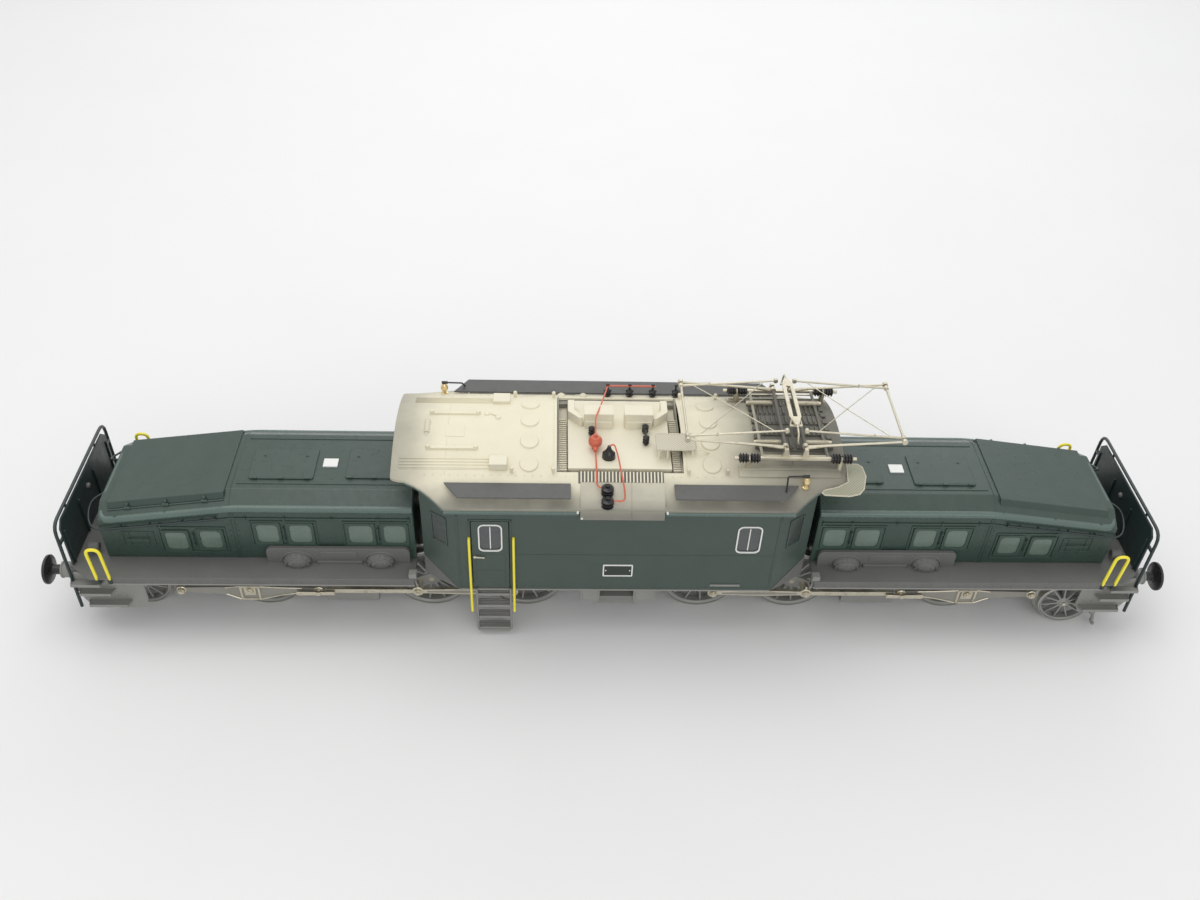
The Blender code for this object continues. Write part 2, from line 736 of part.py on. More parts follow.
def cab_door():
    """The near-side door, drawn about its hinge edge at -56, with its window."""
    hinge = DOOR_X[1]
    outline = [
        (DOOR_X[0] - hinge, DOOR_Z[0]),
        (0.0, DOOR_Z[0]),
        (0.0, DOOR_Z[1]),
        (DOOR_X[0] - hinge, DOOR_Z[1]),
    ]
    pane = [
        (DOOR_WINDOW_X[0] - hinge, WINDOW_Z[0]),
        (DOOR_WINDOW_X[1] - hinge, WINDOW_Z[0]),
        (DOOR_WINDOW_X[1] - hinge, WINDOW_Z[1]),
        (DOOR_WINDOW_X[0] - hinge, WINDOW_Z[1]),
    ]
    leaf = plate([outline, pane], "Y", (0.0, 1.3))
    return leaf


def ladder():
    """The near-side cab ladder: two stiles and four treads."""
    out, inner = -47.6, -46.4
    parts = []
    for x in LADDER_X:
        parts.append(block((x - 0.5, out, 4.0), (x + 0.5, inner, 36.6)))
    for height in (5.0, 14.0, 23.0, 32.0):
        parts.append(block((LADDER_X[0], out + 0.1, height), (LADDER_X[1], -42.5, height + 1.0)))
    hanger = block((LADDER_X[0], inner - 0.6, 34.4), (LADDER_X[1], -43.2, 35.9))
    return joined(*parts, hanger)


def equipment_box():
    """The near-side group of boxes under the cab sill."""
    parts = [block((-18.5, -43.6, 24.0), (-8.0, -35.5, 35.6))]
    parts.append(block((10.0, -43.6, 24.0), (21.5, -35.5, 35.6)))
    parts.append(block((-10.0, -42.6, 20.6), (12.0, -36.5, 26.6)))
    parts.append(block((-17.0, -41.0, 35.0), (20.0, -36.0, 38.0)))
    return joined(*parts)


def roof_half_width(x):
    slope = (abs(x) - ROOF_SHOULDER) / (ROOF_HALF_LENGTH - ROOF_SHOULDER)
    return ROOF_HALF_WIDTH - (ROOF_HALF_WIDTH - ROOF_END_HALF_WIDTH) * max(0.0, slope)


def roof_height(y):
    return ROOF_CROWN - ROOF_FALL * (y / ROOF_HALF_WIDTH) ** 2


def roof():
    """The arched roof with its fascia, opened by the equipment well."""
    shares = (-1.0, -0.86, -0.66, -0.4, -0.14, 0.14, 0.4, 0.66, 0.86, 1.0)
    bm = bmesh.new()
    loops = []
    for x in (-ROOF_HALF_LENGTH, -ROOF_SHOULDER, ROOF_SHOULDER, ROOF_HALF_LENGTH):
        half = roof_half_width(x)
        edge = roof_height(half)
        section = [(-half, edge - ROOF_FASCIA)]
        section += [(share * half, roof_height(share * half)) for share in shares]
        section.append((half, edge - ROOF_FASCIA))
        loops.append([bm.verts.new((x * MM, y * MM, z * MM)) for y, z in section])
    for first, second in zip(loops, loops[1:]):
        for index in range(len(first) - 1):
            bm.faces.new((first[index], second[index], second[index + 1], first[index + 1]))
    bmesh.ops.recalc_face_normals(bm, faces=bm.faces)
    shape = shape_from_bmesh(bm)
    skin = shape.modifiers.new("skin", "SOLIDIFY")
    skin.thickness = ROOF_SKIN * MM
    skin.offset = -1.0
    mesh = evaluated_mesh(shape)
    bpy.data.objects.remove(shape)
    solid = bpy.data.objects.new("shape", mesh)
    WORKSHOP.objects.link(solid)
    return cut(solid, block((-WELL[0], -WELL[1], 90.0), (WELL[0], WELL[1], 120.0)))


def roof_tray():
    """The pale tray in the roof well: a floor, a raised platform and two choke boxes."""
    length, width = WELL[0] - 0.4, WELL[1] - 0.4
    parts = [block((-length, -width, 99.0), (length, width, 101.0))]
    parts.append(block((-27.5, -26.5, 100.5), (27.5, 27.5, 105.6)))
    for start, end in CHOKE_BOXES_X:
        parts.append(block((start, 4.6, 105.0), (end, 13.0, 115.3)))
    return joined(*parts)


def ribbed_profile(height, ribs, wide, narrow):
    """A profile of round sheds, from the top down its outer side to the base."""
    points = [(0.0, height), (narrow, height)]
    pitch = height / (ribs + 0.5)
    for rib in range(ribs):
        top = height - (rib + 0.35) * pitch
        points += [(wide, top), (wide, top - 0.3 * pitch), (narrow, top - 0.55 * pitch)]
    return points + [(narrow, 0.0), (0.0, 0.0)]


def lead_in_insulator():
    return turned(ribbed_profile(6.6, 3, 3.2, 2.1), Matrix.Identity(4), 12)


def step_board():
    """The pale walkway board past the roof's near corner, on two short feet."""
    outline = [(102.0, -31.0), (121.0, -31.0), (123.5, -33.5), (123.5, -44.0)]
    outline += [(121.0, -47.0), (110.0, -47.0), (102.0, -40.0)]
    height = 105.6
    board = plate([outline], "Z", (height, height + 0.9))
    foot_y = -34.0
    low = roof_height(foot_y) + FIT
    feet = [bar((x, foot_y, low), (x, foot_y, height + 0.4), 1.0, 8) for x in (104.5, 110.5)]
    return joined(board, *feet)


def panto_height(y):
    return roof_height(y) + FIT


def pantograph_base():
    """The frame that carries the arms' pivots, on four insulated feet."""
    rail_y, rail_z, reach = 27.5, 113.6, 25.5
    parts = []
    for side in (-1, 1):
        y = side * rail_y
        parts.append(bar((PANTO_X - 28, y, rail_z), (PANTO_X + 28, y, rail_z), 1.1, 8))
        for end in (-1, 1):
            x = PANTO_X + end * reach
            parts.append(bar((x, y, panto_height(rail_y - 2.6)), (x, y, rail_z - 0.3), 2.4, 10))
            pin_x = PANTO_X + end * PANTO_PIVOT_OFFSET
            post = sorted((side * (rail_y - 1.8), side * (rail_y + 0.4)))
            low = (pin_x - 1.2, post[0], rail_z - 0.6)
            parts.append(block(low, (pin_x + 1.2, post[1], PANTO_PIVOT_HEIGHT + 1.4)))
    for end in (-1, 1):
        x = PANTO_X + end * 17.0
        parts.append(bar((x, -rail_y, rail_z - 0.1), (x, rail_y, rail_z - 0.1), 0.9, 6))
    return joined(*parts)


def lower_arm(direction):
    """An arm pair drawn about its pivot shaft; direction is -1 or 1 along X at rest."""
    rise = PANTO_ARM * math.sin(PANTO_ANGLE)
    run = direction * PANTO_ARM * math.cos(PANTO_ANGLE)
    parts = [bar((0, -PANTO_LOWER_Y, 0), (0, PANTO_LOWER_Y, 0), 0.9, 8)]
    for side in (-1, 1):
        y = side * PANTO_LOWER_Y
        parts.append(bar((0, y, 0), (run, y, rise), PANTO_TUBE, 8))
        parts.append(bar((run, y - 0.9, rise), (run, y + 0.9, rise), 1.2, 10))
    return joined(*parts)


def upper_arm(direction):
    """An arm pair drawn about its knee; direction is the way that it runs to the head."""
    rise = PANTO_ARM * math.sin(PANTO_ANGLE)
    run = direction * PANTO_ARM * math.cos(PANTO_ANGLE)
    reach = PANTO_LOWER_Y - 0.9 - FIT
    parts = [bar((0, -reach, 0), (0, reach, 0), 0.7, 8)]
    for side in (-1, 1):
        y = side * PANTO_UPPER_Y
        parts.append(bar((0, y, 0), (run, y, rise), PANTO_TUBE, 8))
        parts.append(bar((run, y - 0.8, rise), (run, y + 0.8, rise), 1.1, 10))
    return joined(*parts)


def collector_head():
    """The slotted contact pan with its horns, drawn about the left upper arm's end."""
    centre, half = PANTO_PIVOT_OFFSET, 4.2
    outline = [(centre - half, -15.0), (centre, -20.0), (centre + half, -15.0)]
    outline += [(centre + half, 15.0), (centre, 20.0), (centre - half, 15.0)]
    slot = [(centre - 1.7, -13.0), (centre + 1.7, -13.0), (centre + 1.7, 13.0), (centre - 1.7, 13.0)]
    pan = plate([outline, slot], "Z", (2.4, 3.6))
    parts = [pan]
    for side in (-1, 1):
        horn = [(centre, side * 18.7, 3.1), (centre, side * 22.5, 2.6), (centre, side * 25.5, 0.2)]
        parts.append(bent_bar(horn, 0.5))
        parts.append(block((centre - 0.9, side * 17.0 - 0.9, 0.2), (centre + 0.9, side * 17.0 + 0.9, 3.0)))
        parts.append(bar((1.9, side * 17.0, 0.6), (8.1, side * 17.0, 0.6), 0.7, 8))
    return joined(*parts)


# Assembly


def half_turn(shape):
    """The same shape turned half round, for the far side of the centre section."""
    bm = bmesh.new()
    bm.from_mesh(shape.data)
    bmesh.ops.transform(bm, matrix=Matrix.Rotation(math.pi, 4, "Z"), verts=bm.verts)
    return shape_from_bmesh(bm)


def build_centre_section():
    piece("main_frame", main_frame(), "frame_grey")
    piece("cab_shell", cab_shell(), "green_paint")
    piece("cab_roof", roof(), "roof_cream")
    piece("roof_tray", roof_tray(), "roof_cream")
    lead_in_foot = roof_height(LEAD_IN[1]) + LEAD_IN_LIFT
    piece("lead_in_insulator", lead_in_insulator(), "insulator_black", place=(*LEAD_IN, lead_in_foot))
    piece("roof_step_board", step_board(), "roof_cream")
    near = {"door": cab_door(), "ladder": ladder(), "box": equipment_box()}
    hinge = (DOOR_X[1], -CAB_HALF_WIDTH, 0.0)
    far_hinge = (-hinge[0], -hinge[1], 0.0)
    far = {name: half_turn(shape) for name, shape in near.items()}
    piece("cab_door_near", near["door"], "green_paint", place=hinge)
    piece("cab_door_far", far["door"], "green_paint", place=far_hinge)
    for side, shapes in (("near", near), ("far", far)):
        piece(f"cab_ladder_{side}", shapes["ladder"], "frame_grey")
        piece(f"equipment_box_{side}", shapes["box"], "frame_grey")
    card = block((-34.0, -18.0, 52.0), (34.0, 18.0, 53.6))
    piece("circuit_board", card, "board_green")
    cone = turned([(0, 7.0), (13.0, 7.0), (13.0, 4.0), (6.0, 0.0), (0.0, 0.0)], Matrix.Identity(4), 20)
    piece("loudspeaker", cone, "speaker_black", place=(60.0, 0.0, FLOOR[1] + FIT))


def build_pantograph():
    rise = PANTO_ARM * math.sin(PANTO_ANGLE)
    run = PANTO_ARM * math.cos(PANTO_ANGLE)
    piece("pantograph_base", pantograph_base(), "panto_nickel")
    for name, direction in (("left", -1), ("right", 1)):
        x = PANTO_X + direction * PANTO_PIVOT_OFFSET
        knee = (x + direction * run, 0.0, PANTO_PIVOT_HEIGHT + rise)
        foot = (x, 0.0, PANTO_PIVOT_HEIGHT)
        piece(f"pantograph_lower_arm_{name}", lower_arm(direction), "panto_nickel", place=foot)
        piece(f"pantograph_upper_arm_{name}", upper_arm(-direction), "panto_nickel", place=knee)
    top = (PANTO_X - PANTO_PIVOT_OFFSET, 0.0, PANTO_PIVOT_HEIGHT + 2 * rise)
    piece("collector_head", collector_head(), "panto_nickel", place=top)


def bogie_pieces():
    """Every piece of the right-hand bogie: name, shape, finish and place."""
    made = [
        ("bogie_frame", bogie_frame(), "frame_grey", (0.0, 0.0, 0.0)),
        ("deck", deck(), "deck_grey", (0.0, 0.0, 0.0)),
        ("hood", hood(), "green_top", (0.0, 0.0, 0.0)),
        ("end_panel", end_panel(), "dark_steel", (0.0, 0.0, 0.0)),
        ("draw_hook", draw_hook(), "buffer_black", (BEAM[1] + 1.0, 0.0, 33.0)),
        ("motor", motor(), "motor_steel", motor_place()),
        ("motor_pinion", pinion(), "gear_brass", motor_place()),
    ]
    for side, name in ((-1, "near"), (1, "far")):
        socket = (BEAM[1], side * BUFFER_SPREAD, BUFFER_HEIGHT)
        made.append((f"buffer_{name}", buffer(), "buffer_black", socket))
        across, up = crank_offset(side)
        pin = (DRIVER_X["inner"] + across, 0.0, AXLE_HEIGHT + up)
        made.append((f"coupling_rod_{name}", coupling_rod(side), "rod_nickel", pin))
        made.append((f"frame_rod_{name}", frame_rod(side), "rod_nickel", pin))
    for name, x in DRIVER_X.items():
        place = (x, 0.0, AXLE_HEIGHT)
        made.append((f"driving_wheelset_{name}", driving_wheelset(), "wheel_grey", place))
    for name, x in JACKSHAFT_X.items():
        place = (x, 0.0, AXLE_HEIGHT)
        made.append((f"jackshaft_{name}", jackshaft(name == "inner"), "wheel_grey", place))
    return made


def build_bogies():
    right = pivot("bogie_right_pivot", (BOGIE_PIVOT_X, 0.0, 0.0))
    left = pivot("bogie_left_pivot", (-BOGIE_PIVOT_X, 0.0, 0.0))
    for name, shape, finish, (x, y, z) in bogie_pieces():
        twin = mirror_shape(shape)
        piece(f"{name}_right", shape, finish, right, (x - BOGIE_PIVOT_X, y, z))
        piece(f"{name}_left", twin, finish, left, (BOGIE_PIVOT_X - x, y, z))
    reach = TRUCK_PIVOT_X - BOGIE_PIVOT_X
    axle = (CARRIER_X - TRUCK_PIVOT_X, 0.0, CARRIER_HEIGHT)
    for name, bogie, sign, swing in (("right", right, 1, TRUCK_SWING), ("left", left, -1, 0.0)):
        truck = pivot(f"carrying_truck_{name}_pivot", (sign * reach, 0.0, 0.0), bogie, swing)
        shapes = [truck_frame(), carrying_wheelset()]
        if sign < 0:
            originals = shapes
            shapes = [mirror_shape(shape) for shape in originals]
            for shape in originals:
                bpy.data.objects.remove(shape)
        place = (sign * axle[0], axle[1], axle[2])
        piece(f"carrying_truck_{name}", shapes[0], "frame_grey", truck)
        piece(f"carrying_wheelset_{name}", shapes[1], "wheel_grey", truck, place)


clear_scene()
OBJECT = new_collection(OBJECT_NAME)
WORKSHOP = new_collection("workshop")
MATERIALS = make_materials()
build_centre_section()
build_pantograph()
build_bogies()
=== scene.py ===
"""The looks of a gauge-1 model electric locomotive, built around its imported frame.

X runs along the locomotive, -Y is the near side and Z is up.  Sizes are in millimetres, and the
helpers turn them into Blender's metres.  Pieces of a bogie are drawn for the right-hand end (+X)
and mirrored for the left-hand one.
"""

import json
import math

import bmesh
import bpy
from mathutils import Matrix, Vector


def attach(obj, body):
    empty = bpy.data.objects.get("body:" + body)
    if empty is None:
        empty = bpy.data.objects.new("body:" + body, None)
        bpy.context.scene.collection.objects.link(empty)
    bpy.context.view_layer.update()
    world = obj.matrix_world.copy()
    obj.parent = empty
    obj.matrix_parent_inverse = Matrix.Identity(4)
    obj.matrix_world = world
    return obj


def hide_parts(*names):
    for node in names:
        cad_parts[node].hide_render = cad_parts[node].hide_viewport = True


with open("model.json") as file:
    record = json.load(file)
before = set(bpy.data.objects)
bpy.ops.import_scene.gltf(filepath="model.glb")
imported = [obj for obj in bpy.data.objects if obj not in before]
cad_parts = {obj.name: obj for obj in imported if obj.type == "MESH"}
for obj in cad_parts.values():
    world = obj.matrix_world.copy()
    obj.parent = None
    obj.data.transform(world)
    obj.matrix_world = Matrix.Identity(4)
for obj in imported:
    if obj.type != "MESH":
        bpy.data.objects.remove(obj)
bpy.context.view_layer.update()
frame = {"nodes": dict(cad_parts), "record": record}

MM = 0.001
UP = (0, 0, 1)
ENDS = {"left": -1, "right": 1}
SIDES = {"near": -1, "far": 1}

# Running gear
DRIVER_RADIUS = 21.1
CARRIER_RADIUS = 14.2
FLANGE_DEPTH = 1.6
AXLE_HEIGHT = 22.7
CARRIER_HEIGHT = 15.8
DRIVER_X = {"inner": 48.0, "middle": 99.6, "outer": 190.0}
JACKSHAFT_X = {"inner": 153.0, "outer": 226.5}
CARRIER_X = 256.0
WHEEL_BACK = 21.2
WHEEL_FACE = 26.8
CRANK_THROW = 7.5
CRANK_ANGLE = {-1: math.radians(-20.0), 1: math.radians(70.0)}
ROD_PLANE = 33.0
ROD_HALF = 1.2
EYE_BORE = 1.6
GEAR_RADIUS = 14.0
GEAR_TEETH = 30
GEAR_ROOT = 0.93
TRUCK_PIVOT_X = 159.0
TRUCK_SWING = {"left": 0.0, "right": math.radians(-6.2)}

# Bogie superstructure
DECK_INNER = 105.8
DECK_OUTER = 286.0
DECK_TOP = 42.6
DECK_EDGE = 46.1
BAY_SIDE = 28.6
BAY_TOP = 46.8
BAY_END = 262.0
BEAM_FACE = 286.8
HOOD_SIDE = 31.0
HOOD_FLAT = 21.4
HOOD_BREAK = 198.5
HOOD_NOSE = 267.6
HOOD_RIB = (78.4, 69.0)
HOOD_RISE = 5.8
HOOD_BASE = 42.9
EAVE_RADIUS = 2.1
GUTTER_DROP = 6.4
HANDRAIL_POST_X = (207.0, 224.0, 241.0, 256.0)
GUTTER_HOOK_X = (108.5, 124.0, 148.0, 172.0, 192.0, 214.0, 236.0, 254.0)
LID_X = (202.0, 262.5)
LID_SIDE = 26.4
HATCHES = (((158.3, 191.6), (-14.0, 8.6)), ((112.0, 142.0), (-13.0, 9.0)))
LID_HINGE_X = (212.0, 232.0, 252.0)
RAIL_X = 284.6
RAIL_SIDE = 41.0
RAIL_TOP = 74.8
RAIL_FOOT = 16.5
SCREEN_SIDE = 37.4
LAMP_Y = 27.0
LAMP_HEIGHT = 46.4
GRIP_Y = 45.6
VENT_X = (109.0, 184.0)
DOME_X = (124.5, 168.0)
DOME_HEIGHT = 44.6
DOME_RIBS = 7
BUFFER_Y = 30.0
BUFFER_HEIGHT = 31.6
HOOK_HEIGHT = 33.0

# Centre section
CAB_SIDE_END = 82.6
CAB_SIDE = 46.1
WALL = 1.5
CAB_END = 101.5
CAB_END_SIDE = 34.0
CAB_BASE = 36.2
CAB_TOP = 94.6
CAB_SEAM = (62.0, 62.35)
DOOR_X = (-75.0, -56.0)
DOOR_Z = (37.2, 85.6)
DOOR_PANE_X = (-71.2, -59.6)
WINDOW_X = (60.9, 73.0)
WINDOW_Z = (65.0, 83.4)
LADDER_X = (-73.4, -55.5)
GRAB_RAIL_X = (-76.2, -53.6)
TREAD_HEIGHTS = (5.0, 14.0, 23.0, 32.0)
PLATE_X = (-7.3, 8.4)
PLATE_Z = (46.6, 55.2)

# Roof
ROOF_END = 115.0
ROOF_SHOULDER = 88.0
ROOF_SIDE = 47.4
ROOF_END_SIDE = 35.0
ROOF_CROWN = 111.8
ROOF_FALL = 16.2
ROOF_FASCIA = 1.5
ROOF_CURVE_END = 109.0
ROOF_CURVE_X = (88.0, 91.0, 95.0, 99.0, 103.0, 108.0)
BOARD_Y = (36.6, 47.4)
BOARD_HEIGHT = 103.6
BOARD_BRACKET_X = (-80.0, -54.0, -28.0, 30.0, 56.0, 80.0)
LIP_SIDE = 47.0
LIP_HEIGHT = 93.2
WELL_X = 32.0
WELL_Y = 30.0
PLATFORM_TOP = 105.6
PANEL_LIFT = 0.35
PANEL_BEND = 41.5
PANEL_DROP = 9.0
PANEL_SIDE = 48.1
CHOKE_X = ((-17.8, -2.5), (3.3, 18.1))
COVER_X = (-46.1, 46.6)
COVER_Y = (17.8, 2.0, -12.8, -25.8)
PEG_Y = 30.6
LOUVRE_STARTS = (73.5, 90.6)
PEG_X = (-54.6, -33.8, 34.4, 54.0)
BUS_X = (-4.6, 7.4, 20.0, 32.6)
BUS_Y = 34.4
BUS_HEIGHT = 110.4
LEAD_IN_X = -6.7
LEAD_IN_Y = (-40.2, -45.6)

# Pantograph
PANTO_X = 88.0
PANTO_PIVOT_Z = 118.0
PANTO_OFFSET = 5.0
PANTO_ARM = 50.0
PANTO_ANGLE = math.radians(4.6)
LOWER_Y = 23.5
UPPER_Y = 20.5
BASE_Y = 27.5
BASE_HEIGHT = 113.7
COIL_TURNS = 22
COIL_SIDES = 8
COIL_RADIUS = 1.25
SPRING_HEIGHT = 114.6


# ---------------------------------------------------------------- shape helpers


def new_shape():
    return bmesh.new()


def add_box(bm, x, y, z):
    """A box over three spans."""
    spans = [sorted(span) for span in (x, y, z)]
    centre = Vector([(low + high) / 2 for low, high in spans]) * MM
    size = [(high - low) * MM for low, high in spans]
    place = Matrix.Translation(centre) @ Matrix.Diagonal((*size, 1.0))
    return bmesh.ops.create_cube(bm, size=1.0, matrix=place)["verts"]


def add_bar(bm, start, end, radius, sides=12, tip=None):
    """A round bar, whose far end may have another radius."""
    first, last = Vector(start) * MM, Vector(end) * MM
    along = last - first
    place = Matrix.Translation((first + last) / 2) @ along.to_track_quat("Z", "Y").to_matrix().to_4x4()
    end_radius = radius if tip is None else tip
    made = bmesh.ops.create_cone(
        bm, cap_ends=True, segments=sides, radius1=radius * MM, radius2=end_radius * MM,
        depth=along.length, matrix=place)
    return made["verts"]


def add_rivet(bm, place, side, proud, radius):
    """A small round head on a side face, sunk a little into it."""
    x, face, z = place
    add_bar(bm, (x, face - side * 0.2, z), (x, face + side * proud, z), radius, 6)


def about(middle, half):
    """The span that reaches as far to both sides of its middle."""
    return middle - half, middle + half


def around(face, side, sunk, proud):
    """The span across a side face, from below its surface to above it."""
    return face - side * sunk, face + side * proud


def rounded(points, bend, steps=4):
    """The points with each inner corner turned into a curve."""
    path = [Vector(points[0])]
    for before, corner, after in zip(points, points[1:], points[2:]):
        corner = Vector(corner)
        back, on = Vector(before) - corner, Vector(after) - corner
        first = corner + back.normalized() * min(bend, back.length * 0.49)
        last = corner + on.normalized() * min(bend, on.length * 0.49)
        for step in range(steps + 1):
            t = step / steps
            path.append(first * (1 - t) ** 2 + corner * 2 * t * (1 - t) + last * t ** 2)
    path.append(Vector(points[-1]))
    return path


def add_tube(bm, points, radius, sides=8, bend=0.0, closed=False):
    """A tube swept along points."""
    path = rounded(points, bend) if bend else [Vector(point) for point in points]
    rings, across = [], None
    for index, point in enumerate(path):
        before = path[index - 1] if index or closed else point
        after = path[(index + 1) % len(path)] if index + 1 < len(path) or closed else point
        along = (after - before).normalized()
        across = along.orthogonal() if across is None else across - along * across.dot(along)
        across.normalize()
        up = along.cross(across)
        ring = []
        for corner in range(sides):
            angle = math.tau * corner / sides
            offset = across * math.cos(angle) + up * math.sin(angle)
            ring.append(bm.verts.new((point + offset * radius) * MM))
        rings.append(ring)
    joins = list(zip(rings, rings[1:]))
    if closed:
        joins.append((rings[-1], rings[0]))
    for first, second in joins:
        bridge(bm, first, second)
    if not closed:
        bm.faces.new(rings[0][::-1])
        bm.faces.new(rings[-1])


def bridge(bm, first, second):
    """Faces between two loops; a loop of one vertex is a tip."""
    count = max(len(first), len(second))
    for index in range(count):
        after = (index + 1) % count
        corners = (first[index % len(first)], first[after % len(first)],
                   second[after % len(second)], second[index % len(second)])
        bm.faces.new(list(dict.fromkeys(corners)))


def add_turned(bm, profile, origin, axis, sides=32, ring=False):
    """(radius, height) points turned about an axis; ring joins the last point to the first."""
    axis = Vector(axis).normalized()
    across = axis.orthogonal().normalized()
    up = axis.cross(across)
    loops = []
    for radius, height in profile:
        centre = Vector(origin) + axis * height
        if radius < 1e-6:
            loops.append([bm.verts.new(centre * MM)])
            continue
        loop = []
        for corner in range(sides):
            angle = math.tau * corner / sides
            offset = across * math.cos(angle) + up * math.sin(angle)
            loop.append(bm.verts.new((centre + offset * radius) * MM))
        loops.append(loop)
    pairs = list(zip(loops, loops[1:]))
    if ring:
        pairs.append((loops[-1], loops[0]))
    for first, second in pairs:
        bridge(bm, first, second)


PLANES = {
    "X": lambda u, v, depth: Vector((depth, u, v)),
    "Y": lambda u, v, depth: Vector((u, depth, v)),
    "Z": lambda u, v, depth: Vector((u, v, depth)),
}


def add_plate(bm, outline, normal, span, holes=()):
    """A flat outline with holes, square to an axis and filling a span along it."""
    place = PLANES[normal]
    low, high = sorted(span)
    edges, first_loop = [], None
    for loop in (outline, *holes):
        verts = [bm.verts.new(place(u, v, low) * MM) for u, v in loop]
        first_loop = first_loop or verts
        edges += [bm.edges.new(pair) for pair in zip(verts, verts[1:] + verts[:1])]
    if holes:
        filled = bmesh.ops.triangle_fill(bm, use_beauty=True, use_dissolve=False, edges=edges)
        faces = [item for item in filled["geom"] if isinstance(item, bmesh.types.BMFace)]
    else:
        faces = [bm.faces.new(first_loop)]
    grown = bmesh.ops.extrude_face_region(bm, geom=faces)["geom"]
    moved = [item for item in grown if isinstance(item, bmesh.types.BMVert)]
    bmesh.ops.translate(bm, verts=moved, vec=place(0.0, 0.0, high - low) * MM)


def add_loft(bm, loops):
    """A closed solid through loops of as many points each."""
    rings = [[bm.verts.new(Vector(point) * MM) for point in loop] for loop in loops]
    for first, second in zip(rings, rings[1:]):
        bridge(bm, first, second)
    bm.faces.new(rings[0][::-1])
    bm.faces.new(rings[-1])


def add_dome(bm, centre, size, sides=24, rings=6):
    """Half an ellipsoid, rising along +Z from its base."""
    profile = [(math.cos(math.pi / 2 * step / rings), math.sin(math.pi / 2 * step / rings))
               for step in range(rings)]
    start = len(bm.verts)
    add_turned(bm, [(0.0, 0.0), *profile, (0.0, 1.0)], (0, 0, 0), UP, sides)
    bm.verts.ensure_lookup_table()
    for vert in bm.verts[start:]:
        vert.co = Vector([centre[i] * MM + vert.co[i] * size[i] for i in range(3)])


def rounded_rect(u, v, radius, steps=4):
    """The outline of a rectangle with round corners."""
    points = []
    corners = ((u[1], v[1], 0), (u[0], v[1], 90), (u[0], v[0], 180), (u[1], v[0], 270))
    for across, up, turn in corners:
        centre_u = across - math.copysign(radius, across - (u[0] + u[1]) / 2)
        centre_v = up - math.copysign(radius, up - (v[0] + v[1]) / 2)
        for step in range(steps + 1):
            angle = math.radians(turn + 90.0 * step / steps)
            points.append((centre_u + radius * math.cos(angle), centre_v + radius * math.sin(angle)))
    return points


def circle(u, v, radius, sides=24):
    return [(u + radius * math.cos(math.tau * i / sides), v + radius * math.sin(math.tau * i / sides))
            for i in range(sides)]


def grown_rect(u, v, by):
    return (u[0] - by, u[1] + by), (v[0] - by, v[1] + by)


def turn_verts(bm, start, angle, axis, centre):
    """Turns the vertices made since `start` about an axis through a centre."""
    bm.verts.ensure_lookup_table()
    spin = Matrix.Rotation(angle, 3, axis)
    bmesh.ops.rotate(bm, cent=Vector(centre) * MM, matrix=spin, verts=bm.verts[start:])


# ---------------------------------------------------------------- materials


# Where a Mix node keeps its two colours and its mixed colour
MIX_COLOURS = (6, 7)
MIX_RESULT = 2


class Nodes:
    """A short way to wire a material's nodes."""

    def __init__(self, name):
        self.material = bpy.data.materials.new(name)
        self.material.use_nodes = True
        self.tree = self.material.node_tree
        self.shader = self.tree.nodes["Principled BSDF"]
        self.where = self.add("ShaderNodeTexCoord").outputs["Object"]

    def add(self, kind, **settings):
        node = self.tree.nodes.new(kind)
        for key, value in settings.items():
            setattr(node, key, value)
        return node

    def link(self, source, target):
        self.tree.links.new(source, target)

    def noise(self, size, detail=4.0, stretch=(1.0, 1.0, 1.0)):
        """Noise whose features are about `size` millimetres across."""
        scaled = self.add("ShaderNodeMapping")
        scaled.inputs["Scale"].default_value = [1.0 / (size * MM) / part for part in stretch]
        self.link(self.where, scaled.inputs["Vector"])
        node = self.add("ShaderNodeTexNoise")
        node.inputs["Scale"].default_value = 1.0
        node.inputs["Detail"].default_value = detail
        self.link(scaled.outputs["Vector"], node.inputs["Vector"])
        return node.outputs["Fac"]

    def spread(self, value, low, high, to_low=0.0, to_high=1.0):
        """A value from between two limits, eased to between two others."""
        node = self.add("ShaderNodeMapRange", interpolation_type="SMOOTHSTEP")
        for key, number in (("From Min", low), ("From Max", high), ("To Min", to_low), ("To Max", to_high)):
            node.inputs[key].default_value = number
        self.link(value, node.inputs["Value"])
        return node.outputs["Result"]

    def maths(self, operation, first, second=0.0):
        """One sum over two values, each a number or a socket."""
        node = self.add("ShaderNodeMath", operation=operation)
        for socket, value in zip(node.inputs, (first, second)):
            if isinstance(value, (int, float)):
                socket.default_value = value
            else:
                self.link(value, socket)
        return node.outputs[0]

    def mix(self, share, first, second):
        """Colour `first` turning into `second`; each is a colour or a socket."""
        node = self.add("ShaderNodeMix", data_type="RGBA")
        self.link(share, node.inputs["Factor"])
        for index, value in zip(MIX_COLOURS, (first, second)):
            if isinstance(value, tuple):
                node.inputs[index].default_value = (*value, 1.0)
            else:
                self.link(value, node.inputs[index])
        return node.outputs[MIX_RESULT]

    def axis(self, name):
        parts = self.add("ShaderNodeSeparateXYZ")
        self.link(self.where, parts.inputs["Vector"])
        return parts.outputs[name]

    def upward(self):
        """1 on faces that look up, judged in the piece's own frame."""
        parts = self.add("ShaderNodeSeparateXYZ")
        facing = self.add("ShaderNodeTexCoord")
        self.link(facing.outputs["Normal"], parts.inputs["Vector"])
        return self.spread(parts.outputs["Z"], 0.2, 0.95)

    def bump(self, height, strength, distance):
        node = self.add("ShaderNodeBump")
        node.inputs["Strength"].default_value = strength
        node.inputs["Distance"].default_value = distance * MM
        self.link(height, node.inputs["Height"])
        self.link(node.outputs["Normal"], self.shader.inputs["Normal"])


